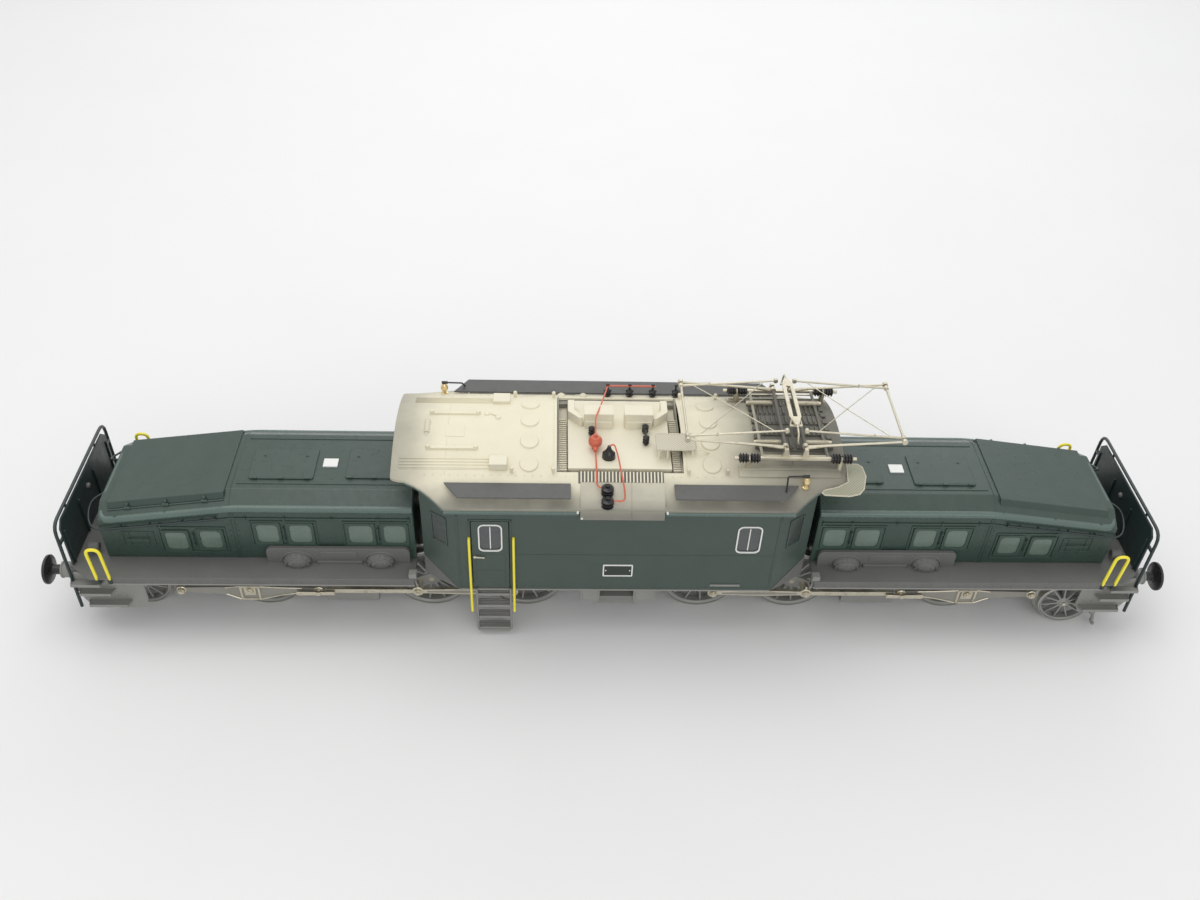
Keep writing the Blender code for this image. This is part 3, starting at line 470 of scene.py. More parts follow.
def shaded(colour, factor):
    return tuple(channel * factor for channel in colour)


def paint(name, colour, roughness, dust=0.0, dust_colour=(0.34, 0.34, 0.31), metallic=0.0, mottle=0.12,
          grain=0.16):
    """Sprayed model paint: slight mottling, fine grain, and dust on what looks up."""
    nodes = Nodes(name)
    cloud = nodes.noise(16.0)
    base = nodes.mix(cloud, shaded(colour, 1 - mottle), shaded(colour, 1 + mottle))
    if dust:
        patches = nodes.maths("MULTIPLY", nodes.spread(nodes.noise(7.0), 0.2, 0.8, 0.6, 1.0), dust)
        base = nodes.mix(nodes.maths("MULTIPLY", patches, nodes.upward()), base, dust_colour)
    nodes.link(base, nodes.shader.inputs["Base Color"])
    rough = nodes.spread(nodes.noise(3.0), 0.25, 0.75, roughness - 0.07, roughness + 0.07)
    nodes.link(rough, nodes.shader.inputs["Roughness"])
    nodes.shader.inputs["Metallic"].default_value = metallic
    nodes.bump(nodes.noise(0.5, 2.0), grain, 0.05)
    return nodes.material


def metal(name, colour, roughness, tarnish=(0.12, 0.1, 0.08), amount=0.35, metallic=0.9):
    """Plated metal with fine drawing marks and patches of tarnish."""
    nodes = Nodes(name)
    patches = nodes.spread(nodes.noise(4.0, 6.0), 0.5, 0.78, 0.0, amount)
    streaks = nodes.noise(0.5, 3.0, stretch=(14.0, 1.0, 1.0))
    tone = nodes.mix(streaks, shaded(colour, 0.86), shaded(colour, 1.1))
    nodes.link(nodes.mix(patches, tone, tarnish), nodes.shader.inputs["Base Color"])
    rough = nodes.spread(streaks, 0.2, 0.8, roughness - 0.08, roughness + 0.12)
    nodes.link(rough, nodes.shader.inputs["Roughness"])
    nodes.shader.inputs["Metallic"].default_value = metallic
    nodes.bump(streaks, 0.12, 0.04)
    return nodes.material


SOOT_CENTRE = 0.102


def roof_paint():
    """Cream roof paint, greyed at its edges and its left end, and sooty round the pantograph."""
    cream, grey, soot = (0.77, 0.72, 0.555), (0.25, 0.24, 0.195), (0.1, 0.098, 0.082)
    nodes = Nodes("roof_cream")
    along, across = nodes.axis("X"), nodes.axis("Y")
    wave = nodes.maths("MULTIPLY", nodes.maths("SUBTRACT", nodes.noise(22.0), 0.5), 0.02)
    far_out = nodes.maths("ADD", nodes.maths("ABSOLUTE", across), wave)
    sides = nodes.spread(far_out, 0.03, 0.048, 0.0, 0.95)
    left_end = nodes.spread(nodes.maths("ADD", along, wave), -0.088, -0.117, 0.0, 0.75)
    offset = nodes.maths("ABSOLUTE", nodes.maths("SUBTRACT", along, SOOT_CENTRE))
    smoke = nodes.spread(nodes.maths("ADD", offset, wave), 0.068, 0.012, 0.0, 0.92)
    centre = nodes.spread(far_out, 0.05, 0.016, 0.5, 1.0)
    base = nodes.mix(nodes.noise(9.0), shaded(cream, 0.95), shaded(cream, 1.04))
    base = nodes.mix(nodes.maths("MAXIMUM", sides, left_end), base, grey)
    base = nodes.mix(nodes.maths("MULTIPLY", smoke, centre), base, soot)
    nodes.link(base, nodes.shader.inputs["Base Color"])
    rough = nodes.spread(nodes.noise(3.0), 0.25, 0.75, 0.5, 0.66)
    nodes.link(rough, nodes.shader.inputs["Roughness"])
    nodes.bump(nodes.noise(0.6, 2.0), 0.14, 0.05)
    return nodes.material


def drop_panel_paint():
    """The grey-cream of the roof's middle panel, darker towards its lower edge."""
    nodes = Nodes("panel_cream")
    up = nodes.axis("Z")
    base = nodes.mix(nodes.spread(up, 0.104, 0.091), (0.56, 0.53, 0.42), (0.22, 0.21, 0.175))
    base = nodes.mix(nodes.spread(nodes.noise(8.0), 0.4, 0.8, 0.0, 0.3), base, (0.3, 0.28, 0.24))
    nodes.link(base, nodes.shader.inputs["Base Color"])
    nodes.link(nodes.spread(nodes.noise(3.0), 0.25, 0.75, 0.42, 0.56), nodes.shader.inputs["Roughness"])
    nodes.bump(nodes.noise(0.6, 2.0), 0.12, 0.05)
    return nodes.material


def glass(name, colour, roughness=0.12):
    """Tinted glazing that shows only dark behind it."""
    nodes = Nodes(name)
    base = nodes.mix(nodes.noise(14.0), shaded(colour, 0.75), shaded(colour, 1.25))
    nodes.link(base, nodes.shader.inputs["Base Color"])
    smears = nodes.spread(nodes.noise(5.0, 5.0), 0.3, 0.8, roughness, roughness + 0.14)
    nodes.link(smears, nodes.shader.inputs["Roughness"])
    nodes.shader.inputs["Coat Weight"].default_value = 0.4
    nodes.shader.inputs["Coat Roughness"].default_value = 0.08
    return nodes.material


def mesh_material(name, bright, dim):
    """Expanded-metal walkway: a fine raised diamond grid."""
    nodes = Nodes(name)
    spin = nodes.add("ShaderNodeMapping")
    spin.inputs["Rotation"].default_value = (0.0, 0.0, math.radians(45))
    nodes.link(nodes.where, spin.inputs["Vector"])
    waves = []
    for direction in ("X", "Y"):
        wave = nodes.add("ShaderNodeTexWave", wave_type="BANDS", bands_direction=direction)
        wave.inputs["Scale"].default_value = 300.0
        nodes.link(spin.outputs["Vector"], wave.inputs["Vector"])
        waves.append(wave.outputs["Fac"])
    grid = nodes.maths("MULTIPLY", *waves)
    base = nodes.mix(nodes.spread(grid, 0.3, 0.7), bright, dim)
    nodes.link(base, nodes.shader.inputs["Base Color"])
    nodes.link(nodes.spread(grid, 0.0, 1.0, 0.5, 0.7), nodes.shader.inputs["Roughness"])
    nodes.bump(grid, 0.5, 0.12)
    return nodes.material


def floor_material():
    nodes = Nodes("floor_white")
    base = nodes.mix(nodes.noise(120.0), (0.8, 0.8, 0.79), (0.83, 0.83, 0.825))
    nodes.link(base, nodes.shader.inputs["Base Color"])
    nodes.link(nodes.spread(nodes.noise(40.0), 0.2, 0.8, 0.6, 0.7), nodes.shader.inputs["Roughness"])
    return nodes.material


GREEN = (0.035, 0.068, 0.052)
GREEN_TOP = (0.036, 0.062, 0.05)
GREY = (0.135, 0.135, 0.128)
LIGHT_GREY = (0.25, 0.248, 0.232)
CREAM = (0.76, 0.715, 0.565)
NICKEL = (0.72, 0.67, 0.54)
FINISHES = {
    "green_paint": paint("green_paint", GREEN, 0.36, dust=0.12),
    # The bead's lighter, glossier green is a painted highlight for the hood eaves and cab cornices, with a
    # little real dust.
    "bead_highlight_green": paint("bead_highlight_green", (0.095, 0.142, 0.123), 0.22, dust=0.08),
    "cab_green": paint("cab_green", (0.05, 0.074, 0.061), 0.36, dust=0.12),
    "green_top": paint("green_top", GREEN_TOP, 0.33, dust=0.14, dust_colour=(0.2, 0.22, 0.2), mottle=0.07),
    "roof_cream": roof_paint(),
    "tray_cream": paint("tray_cream", CREAM, 0.55, mottle=0.04),
    "panel_cream": drop_panel_paint(),
    "pale_mesh": mesh_material("pale_mesh", (0.58, 0.54, 0.42), (0.38, 0.36, 0.28)),
    "olive_mesh": mesh_material("olive_mesh", (0.36, 0.355, 0.26), (0.17, 0.17, 0.125)),
    "deck_grey": paint("deck_grey", GREY, 0.55, dust=0.08),
    "frame_grey": paint("frame_grey", LIGHT_GREY, 0.5, dust=0.15),
    "wheel_grey": paint("wheel_grey", (0.29, 0.29, 0.27), 0.42, metallic=0.15),
    "wheel_tread": metal("wheel_tread", (0.5, 0.49, 0.45), 0.34),
    "rod_nickel": metal("rod_nickel", NICKEL, 0.32),
    "rod_dark": paint("rod_dark", (0.3, 0.29, 0.255), 0.4, metallic=0.3),
    "dark_steel": paint("dark_steel", (0.016, 0.03, 0.03), 0.38, dust=0.1),
    "buffer_black": paint("buffer_black", (0.012, 0.012, 0.013), 0.3, dust=0.08),
    "panto_nickel": metal("panto_nickel", (0.66, 0.61, 0.48), 0.36, amount=0.3, metallic=0.8),
    "insulator_black": paint("insulator_black", (0.02, 0.018, 0.018), 0.22, mottle=0.2),
    "motor_steel": metal("motor_steel", (0.6, 0.6, 0.6), 0.3),
    "gear_brass": metal("gear_brass", (0.75, 0.56, 0.24), 0.35),
    "whistle_brass": metal("whistle_brass", (0.85, 0.68, 0.38), 0.22, amount=0.15),
    "board_green": paint("board_green", (0.02, 0.12, 0.06), 0.35),
    "speaker_black": paint("speaker_black", (0.02, 0.02, 0.02), 0.6),
    "walkway_grey": paint("walkway_grey", (0.1, 0.1, 0.096), 0.55, mottle=0.06),
    # The well lining's grey is painted shade: the look of the well's shaded walls and corners.
    "well_shade_grey": paint("well_shade_grey", (0.3, 0.29, 0.24), 0.6),
    "louvre_grey": paint("louvre_grey", (0.125, 0.12, 0.098), 0.5),
    "yellow": paint("yellow", (0.9, 0.78, 0.045), 0.35, mottle=0.04),
    "red": paint("red", (0.6, 0.135, 0.075), 0.42, mottle=0.08),
    "white": paint("white", (0.8, 0.8, 0.77), 0.4, mottle=0.03),
    "cab_glass": glass("cab_glass", (0.07, 0.078, 0.078), 0.2),
    "dark_glass": glass("dark_glass", (0.022, 0.034, 0.028), 0.2),
    "hood_glass": glass("hood_glass", (0.115, 0.165, 0.135), 0.24),
    "plate_dark": paint("plate_dark", (0.02, 0.03, 0.022), 0.4),
}


def piece(name, bm, finish, body, replaces=(), bevel=0.0, steps=2, smooth=38.0):
    """Turns a shape into a piece that rides on a body."""
    bmesh.ops.recalc_face_normals(bm, faces=bm.faces)
    mesh = bpy.data.meshes.new(name)
    bm.to_mesh(mesh)
    bm.free()
    mesh.materials.append(FINISHES[finish])
    mesh.shade_smooth()
    mesh.set_sharp_from_angle(angle=math.radians(smooth))
    made = bpy.data.objects.new(name, mesh)
    bpy.context.scene.collection.objects.link(made)
    if bevel:
        edge = made.modifiers.new("edge", "BEVEL")
        edge.width = bevel * MM
        edge.segments = steps
        edge.limit_method = "ANGLE"
        edge.angle_limit = math.radians(smooth)
        edge.harden_normals = True
    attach(made, body)
    if replaces:
        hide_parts(*replaces)
    return made


def centre_piece(name, bm, finish, replaces=(), **extra):
    """A piece of the fixed middle section."""
    return piece(name, bm, finish, "centre_section", replaces, **extra)


def end_piece(end, name, bm, finish, body, replaces=(), **extra):
    """A piece of one end, drawn for the right-hand one."""
    if ENDS[end] < 0:
        bmesh.ops.scale(bm, vec=(-1.0, 1.0, 1.0), verts=bm.verts)
    nodes = [f"{node}_{end}" for node in replaces]
    return piece(f"{name}_{end}", bm, finish, f"{body}_{end}", nodes, **extra)


# ---------------------------------------------------------------- wheels and rods


def crank_offset(side):
    angle = CRANK_ANGLE[side]
    return CRANK_THROW * math.cos(angle), CRANK_THROW * math.sin(angle)


def add_spokes(bm, centre, side, count, inner, outer, wide):
    """Tapered spokes between a hub and a rim, in the wheel's own plane."""
    x, z = centre
    back, front = side * (WHEEL_BACK + 1.6), side * (WHEEL_FACE - 1.1)
    for index in range(count):
        start = len(bm.verts)
        loops = []
        for radius, half, trim in ((inner, wide / 2, 0.0), (outer, wide * 0.32, 0.4)):
            low, high = back + side * trim, front - side * trim
            loops.append([(x + radius, low, z - half), (x + radius, high, z - half * 0.6),
                          (x + radius, high, z + half * 0.6), (x + radius, low, z + half)])
        add_loft(bm, loops)
        turn_verts(bm, start, math.tau * index / count, "Y", (x, 0.0, z))


def add_rim(bm, centre, side, radius, thickness):
    """The painted ring that the spokes run into."""
    x, z = centre
    inner = radius - thickness
    profile = [(inner, 0.9), (inner, 4.9), (inner + 0.7, 5.6), (radius - 0.8, 5.6), (radius - 0.3, 5.2),
               (inner + 0.5, 0.3), (radius - 0.3, 0.3)]
    add_turned(bm, profile, (x, side * WHEEL_BACK, z), (0, side, 0), 64, ring=True)


def add_tread(bm, centre, side, radius):
    """The bare tyre with its flange at the wheel's back."""
    x, z = centre
    profile = [(radius - 1.0, 0.0), (radius + 0.9, 0.0), (radius + FLANGE_DEPTH, 0.5),
               (radius + FLANGE_DEPTH, 0.9), (radius + 0.5, 1.6), (radius, 2.2),
               (radius - 0.25, 5.3), (radius - 0.5, 5.55), (radius - 1.0, 5.55)]
    add_turned(bm, profile, (x, side * WHEEL_BACK, z), (0, side, 0), 64, ring=True)


def balance_weight(x, z, inner, outer, middle, half_angle, steps=10):
    """A crescent between two radii, centred on an angle."""
    angles = [middle - half_angle + 2 * half_angle * step / steps for step in range(steps + 1)]
    far = [(x + outer * math.cos(a), z + outer * math.sin(a)) for a in angles]
    near = [(x + inner * math.cos(a), z + inner * math.sin(a)) for a in reversed(angles[1:-1])]
    return far + near


def link_outline(x, z, first, across, up, second, steps=10):
    """The outline round two circles: a boss at the centre and one at an offset."""
    heading = math.atan2(up, across)
    lean = math.acos(max(-1.0, min(1.0, (first - second) / math.hypot(across, up))))
    points = []
    for step in range(steps + 1):
        angle = heading + lean + (math.tau - 2 * lean) * step / steps
        points.append((x + first * math.cos(angle), z + first * math.sin(angle)))
    for step in range(steps + 1):
        angle = heading - lean + 2 * lean * step / steps
        points.append((x + across + second * math.cos(angle), z + up + second * math.sin(angle)))
    return points


def driving_wheels(end, place):
    """A pair of spoked drivers with cranks, balance weights, tyres and crank pins."""
    x = DRIVER_X[place]
    centre = (x, AXLE_HEIGHT)
    body = f"drivers_{place}"
    name = f"driving_wheels_{place}"
    wheel, tread, pins = new_shape(), new_shape(), new_shape()
    add_bar(wheel, (x, -WHEEL_BACK - 1, AXLE_HEIGHT), (x, WHEEL_BACK + 1, AXLE_HEIGHT), 2.2, 24)
    for side in SIDES.values():
        across, up = crank_offset(side)
        add_rim(wheel, centre, side, DRIVER_RADIUS - 0.7, 2.6)
        add_spokes(wheel, centre, side, 13, 4.4, DRIVER_RADIUS - 3.0, 2.1)
        hub = [(0.0, 5.9), (3.0, 5.9), (3.4, 5.5), (5.4, 5.0), (5.6, 1.0), (0.0, 1.0)]
        add_turned(wheel, hub, (x, side * WHEEL_BACK, AXLE_HEIGHT), (0, side, 0), 32)
        faces = (side * (WHEEL_BACK + 1.8), side * (WHEEL_FACE + 0.4))
        add_plate(wheel, link_outline(x, AXLE_HEIGHT, 4.2, across, up, 3.3), "Y", faces)
        weight = balance_weight(x, AXLE_HEIGHT, 12.2, DRIVER_RADIUS - 3.0,
                                CRANK_ANGLE[side] + math.pi, math.radians(40))
        add_plate(wheel, weight, "Y", (side * (WHEEL_BACK + 1.7), side * (WHEEL_FACE - 0.7)))
        add_tread(tread, centre, side, DRIVER_RADIUS)
        add_crank_pin(pins, x + across, AXLE_HEIGHT + up, side, 36.2)
        add_bar(pins, (x, side * (WHEEL_FACE + 0.1), AXLE_HEIGHT),
                (x, side * (WHEEL_FACE + 0.7), AXLE_HEIGHT),
                1.5, 20)
    end_piece(end, name, wheel, "wheel_grey", body, [f"driving_wheelset_{place}"], bevel=0.18)
    end_piece(end, f"tyres_{place}", tread, "wheel_tread", body)
    end_piece(end, f"crank_pins_{place}", pins, "rod_nickel", body, bevel=0.12)


def add_crank_pin(bm, x, z, side, reach):
    """A pin through a rod's eye with a collar and a hexagon nut on its end."""
    add_bar(bm, (x, side * (WHEEL_FACE - 0.5), z), (x, side * (reach - 1.4), z), 1.3, 20)
    add_bar(bm, (x, side * (WHEEL_FACE + 0.3), z), (x, side * 31.4, z), 2.3, 20)
    add_bar(bm, (x, side * 34.5, z), (x, side * (reach - 0.7), z), 2.1, 6)
    add_bar(bm, (x, side * (reach - 0.8), z), (x, side * reach, z), 1.2, 16)


def jackshaft(end, place):
    """A crank shaft with discs and pins; the inner one also carries the gear."""
    x = JACKSHAFT_X[place]
    body = f"jackshaft_{place}"
    disc, pins = new_shape(), new_shape()
    add_bar(disc, (x, -WHEEL_BACK - 1, AXLE_HEIGHT), (x, WHEEL_BACK + 1, AXLE_HEIGHT), 2.2, 24)
    for side in SIDES.values():
        across, up = crank_offset(side)
        profile = [(0.0, 5.6), (2.6, 5.6), (3.0, 5.0), (7.6, 4.8), (8.0, 5.2), (9.2, 5.2),
                   (9.5, 4.8), (9.5, 0.5), (9.2, 0.2), (0.0, 0.2)]
        add_turned(disc, profile, (x, side * WHEEL_BACK, AXLE_HEIGHT), (0, side, 0), 40)
        faces = (side * (WHEEL_BACK + 3.0), side * (WHEEL_FACE + 0.3))
        add_plate(disc, link_outline(x, AXLE_HEIGHT, 3.6, across, up, 2.9), "Y", faces)
        add_crank_pin(pins, x + across, AXLE_HEIGHT + up, side, 34.95 if place == "inner" else 36.2)
    if place == "inner":
        toothed = []
        for index, (u, v) in enumerate(circle(0.0, 0.0, GEAR_RADIUS, 2 * GEAR_TEETH)):
            reach = 1.0 if index % 2 else GEAR_ROOT
            toothed.append((x + u * reach, AXLE_HEIGHT + v * reach))
        add_plate(disc, toothed, "Y", (10.0, 15.0))
    end_piece(end, f"jackshaft_discs_{place}", disc, "wheel_grey", body, [f"jackshaft_{place}"], bevel=0.15)
    end_piece(end, f"jackshaft_pins_{place}", pins, "rod_nickel", body, bevel=0.12)


def swing_with_truck(end, bm):
    """Turns a shape about the truck's pivot to where the truck rests."""
    if TRUCK_SWING[end]:
        turn_verts(bm, 0, TRUCK_SWING[end], "Z", (TRUCK_PIVOT_X, 0.0, 0.0))


def carrying_wheels(end):
    """The small leading pair with spokes, tyres and axle caps."""
    centre = (CARRIER_X, CARRIER_HEIGHT)
    wheel, tread, caps = new_shape(), new_shape(), new_shape()
    add_bar(wheel, (CARRIER_X, -WHEEL_BACK - 1, CARRIER_HEIGHT),
            (CARRIER_X, WHEEL_BACK + 1, CARRIER_HEIGHT),
            1.8, 20)
    for side in SIDES.values():
        add_rim(wheel, centre, side, CARRIER_RADIUS - 0.7, 1.7)
        add_spokes(wheel, centre, side, 11, 2.9, CARRIER_RADIUS - 2.1, 1.7)
        hub = [(0.0, 5.2), (2.2, 5.2), (2.6, 4.8), (3.6, 4.4), (3.8, 1.0), (0.0, 1.0)]
        add_turned(wheel, hub, (CARRIER_X, side * WHEEL_BACK, CARRIER_HEIGHT), (0, side, 0), 28)
        add_tread(tread, centre, side, CARRIER_RADIUS)
        cap = (CARRIER_X, side * (WHEEL_BACK + 5.0), CARRIER_HEIGHT)
        add_turned(caps, [(0.0, 1.1), (1.0, 0.9), (1.4, 0.0), (0.0, 0.0)], cap, (0, side, 0), 20)
    for bm in (wheel, tread, caps):
        swing_with_truck(end, bm)
    end_piece(end, "carrying_wheels", wheel, "wheel_grey", "carriers", ["carrying_wheelset"], bevel=0.15)
    end_piece(end, "carrying_tyres", tread, "wheel_tread", "carriers")
    end_piece(end, "carrying_caps", caps, "rod_nickel", "carriers")


def carrying_truck(end):
    """The truck's frame with rail guards in front of its wheels."""
    bm = new_shape()
    x = CARRIER_X
    add_plate(bm, [(155.0, -5.0), (245.0, -5.0), (245.0, -15.0), (249.0, -15.0), (249.0, 15.0),
                   (245.0, 15.0),
                   (245.0, 5.0), (155.0, 5.0)], "Z", (9.6, 12.2))
    add_plate(bm, [(249.0, -4.0), (272.0, -4.0), (272.0, -26.5), (275.0, -26.5), (275.0, 26.5),
                   (272.0, 26.5),
                   (272.0, 4.0), (249.0, 4.0)], "Z", (9.5, 12.3))
    add_turned(bm, [(0.0, 14.2), (2.0, 14.2), (2.4, 13.6), (5.5, 12.9), (5.5, 9.0), (0.0, 9.0)],
               (TRUCK_PIVOT_X, 0, 0), UP, 24)
    for side in SIDES.values():
        cheek = [(x - 9, 9.4), (x - 2.1, 9.4), (x - 2.1, 17.9), (x + 2.1, 17.9), (x + 2.1, 9.4),
                 (x + 16, 9.4),
                 (x + 16, 12.4), (x + 8, 19.8), (x - 7, 19.8), (x - 9, 12.4)]
        add_plate(bm, cheek, "Y", (side * 12.0, side * 14.0))
        guard = [(x + 17.5, side * 25.5, 11.5), (x + 18.6, side * 25.8, 8.0), (x + 19.6, side * 25.8, 2.4)]
        add_tube(bm, guard, 1.0, 8, bend=1.5)
        add_box(bm, (x + 18.9, x + 20.5), (side * 23.6, side * 27.6), (1.9, 3.4))
    swing_with_truck(end, bm)
    end_piece(end, "truck_frame", bm, "frame_grey", "truck", ["carrying_truck"], bevel=0.2)


def swell(points, centre_z):
    """A closed outline through (x, half height) points about a level."""
    top = [(x, centre_z + half) for x, half in points]
    return top + [(x, centre_z - half) for x, half in reversed(points)]


def add_eye(bm, place, side, radius, top):
    """The round eye of a rod, with softened rims."""
    eye = [(EYE_BORE, -0.15), (radius - 0.3, -0.15), (radius, 0.15), (radius, 2.25), (radius - 0.3, top),
           (EYE_BORE, top)]
    add_turned(bm, eye, place, (0, side, 0), 28, ring=True)


def side_rods(end, side_name):
    """Both rods of one side with eyes, flutes, the slide block's frame and the fork."""
    side = SIDES[side_name]
    across, up = crank_offset(side)
    z = AXLE_HEIGHT + up
    body = f"rods_{side_name}"
    back, front = side * (ROD_PLANE - ROD_HALF), side * (ROD_PLANE + ROD_HALF)
    a, b, c = [x + across for x in DRIVER_X.values()]
    j1, j2 = [x + across for x in JACKSHAFT_X.values()]

    bright = new_shape()
    add_plate(bright, swell([(a, 1.3), (a + 12, 1.7), ((a + b) / 2, 2.1), (b - 12, 1.7), (b, 1.3)], z),
              "Y", (back, front))
    add_plate(bright, swell([(b, 1.3), (b + 6, 1.5), (j1 - 8, 1.4), (j1 - 3.8, 1.4)], z), "Y",
              (back, front))
    for x, radius in ((a, 3.1), (b, 3.3)):
        add_eye(bright, (x, back, z), side, radius, 2.55)
        add_bar(bright, (x, side * ROD_PLANE, z + radius - 0.3), (x, side * ROD_PLANE, z + radius + 1.2),
                0.9, 12,
                tip=0.6)
    add_box(bright, (j1 - 8.8, j1 - 4.2), (side * 34.0, side * 36.1), about(z, 1.3))
    strap = [(j1 - 8.6, z - 1.1), (j1 + 11.0, z - 1.5), (j1 + 12.0, z - 0.7), (j1 + 12.0, z + 0.7),
             (j1 + 11.0, z + 1.5), (j1 - 8.6, z + 1.1)]
    add_plate(bright, strap, "Y", (side * 35.15, side * 36.25))
    add_bar(bright, (j1, side * 36.2, z), (j1, side * 36.8, z), 1.5, 6)
    end_piece(end, f"coupling_rod_{side_name}", bright, "rod_nickel", body, [f"coupling_rod_{side_name}"],
              bevel=0.18)

    flutes = new_shape()
    add_plate(flutes, swell([(a + 5.0, 0.55), ((a + b) / 2, 0.95), (b - 5.0, 0.55)], z), "Y",
              (front - side * 0.4, front + side * 0.06))
    end_piece(end, f"rod_flutes_{side_name}", flutes, "rod_dark", body)

    wide = new_shape()
    outline = [(j1, 1.6, 0.0), (j1 + 9, 2.0, 0.2), (j1 + 20, 3.2, -0.6), (c - 5.8, 5.2, -1.9),
               (c + 5.8, 5.2, -1.8), (c + 13, 2.8, -0.4), (j2, 1.7, 0.0)]
    edge = [(x, z + drop + half) for x, half, drop in outline]
    edge += [(x, z + drop - half) for x, half, drop in reversed(outline)]
    add_plate(wide, edge, "Y", (back + side * 0.15, front - side * 0.35))
    end_piece(end, f"frame_rod_{side_name}", wide, "rod_dark", body, [f"frame_rod_{side_name}"], bevel=0.2)

    trim = new_shape()
    face = (front - side * 0.4, front + side * 0.15)
    block_z = (z - 7.3, z + 3.5)
    add_plate(trim, rounded_rect(about(c, 5.4), block_z, 0.8), "Y", face,
              holes=[rounded_rect(about(c, 4.2), (block_z[0] + 1.2, block_z[1] - 1.2), 0.5)])
    add_plate(trim, rounded_rect(about(c, 3.1), (z - 3.4, z + 2.6), 0.5), "Y", face,
              holes=[circle(c, z, 1.9, 20)])
    for x, radius in ((j1, 2.8), (j2, 2.7)):
        add_eye(trim, (x, back, z), side, radius, 2.5)
    for upper in (1, -1):
        rim = [(x, side * (ROD_PLANE + 1.0), z + drop + upper * (half - 0.35)) for x, half,
               drop in outline[1:-1]]
        add_tube(trim, rim, 0.42, 6)
    for dx in (-4.8, 4.8):
        for level in (block_z[0] + 0.6, block_z[1] - 0.6):
            add_bar(trim, (c + dx, face[1], level), (c + dx, face[1] + side * 0.25, level), 0.42, 8)
    end_piece(end, f"rod_trim_{side_name}", trim, "rod_nickel", body, bevel=0.1)


def running_gear(end):
    for place in DRIVER_X:
        driving_wheels(end, place)
    for place in JACKSHAFT_X:
        jackshaft(end, place)
    for side_name in SIDES:
        side_rods(end, side_name)
    carrying_wheels(end)
    carrying_truck(end)


# ---------------------------------------------------------------- bogie superstructure


def rib_height(x):
    """The height of the hood's side edge, which falls towards the nose."""
    share = max(0.0, (x - HOOD_BREAK) / (HOOD_NOSE - HOOD_BREAK))
    return HOOD_RIB[0] + (HOOD_RIB[1] - HOOD_RIB[0]) * share


def hood_height(x, y):
    """The hood's top surface: flat in the middle and falling to the side edges."""
    share = max(0.0, (abs(y) - HOOD_FLAT) / (HOOD_SIDE - HOOD_FLAT))
    return rib_height(x) + HOOD_RISE * (1.0 - share)


def hood_shell(end):
    """The hood's walled skin, open below and over the motor bay at its inner end."""
    bm = new_shape()
    loops = []
    for x in (DECK_INNER, HOOD_BREAK, HOOD_NOSE):
        rib, top = rib_height(x), rib_height(x) + HOOD_RISE
        half = [(-HOOD_SIDE, HOOD_BASE), (-HOOD_SIDE, rib), (-HOOD_FLAT, top)]
        section = half + [(-y, z) for y, z in reversed(half)]
        loops.append([bm.verts.new(Vector((x, y, z)) * MM) for y, z in section])
    for first, second in zip(loops, loops[1:]):
        for index in range(len(first) - 1):
            bm.faces.new((first[index], first[index + 1], second[index + 1], second[index]))
    opening = ((BAY_SIDE, HOOD_BASE), (BAY_SIDE, BAY_TOP), (-BAY_SIDE, BAY_TOP), (-BAY_SIDE, HOOD_BASE))
    bay = [bm.verts.new(Vector((DECK_INNER, y, z)) * MM) for y, z in opening]
    bm.faces.new(loops[0] + bay)
    bm.faces.new(loops[-1])
    hood = end_piece(end, "hood_shell", bm, "green_top", "bogie", ["hood"], smooth=20.0)
    wall = hood.modifiers.new("wall", "SOLIDIFY")
    wall.thickness = 1.3 * MM
    wall.use_even_offset = True
    wall.offset = -1.0
    edge = hood.modifiers.new("edge", "BEVEL")
    edge.width = 1.9 * MM
    edge.segments = 4
    edge.angle_limit = math.radians(22.0)
    edge.harden_normals = True


def add_on_hood(bm, x, y, low, high):
    """A plate that follows the hood's top over two spans, which stay on one side of each fold."""
    corners = ((x[0], y[0]), (x[1], y[0]), (x[1], y[1]), (x[0], y[1]))
    add_loft(bm, [[(u, v, hood_height(u, v) + lift) for u, v in corners] for lift in (low, high)])


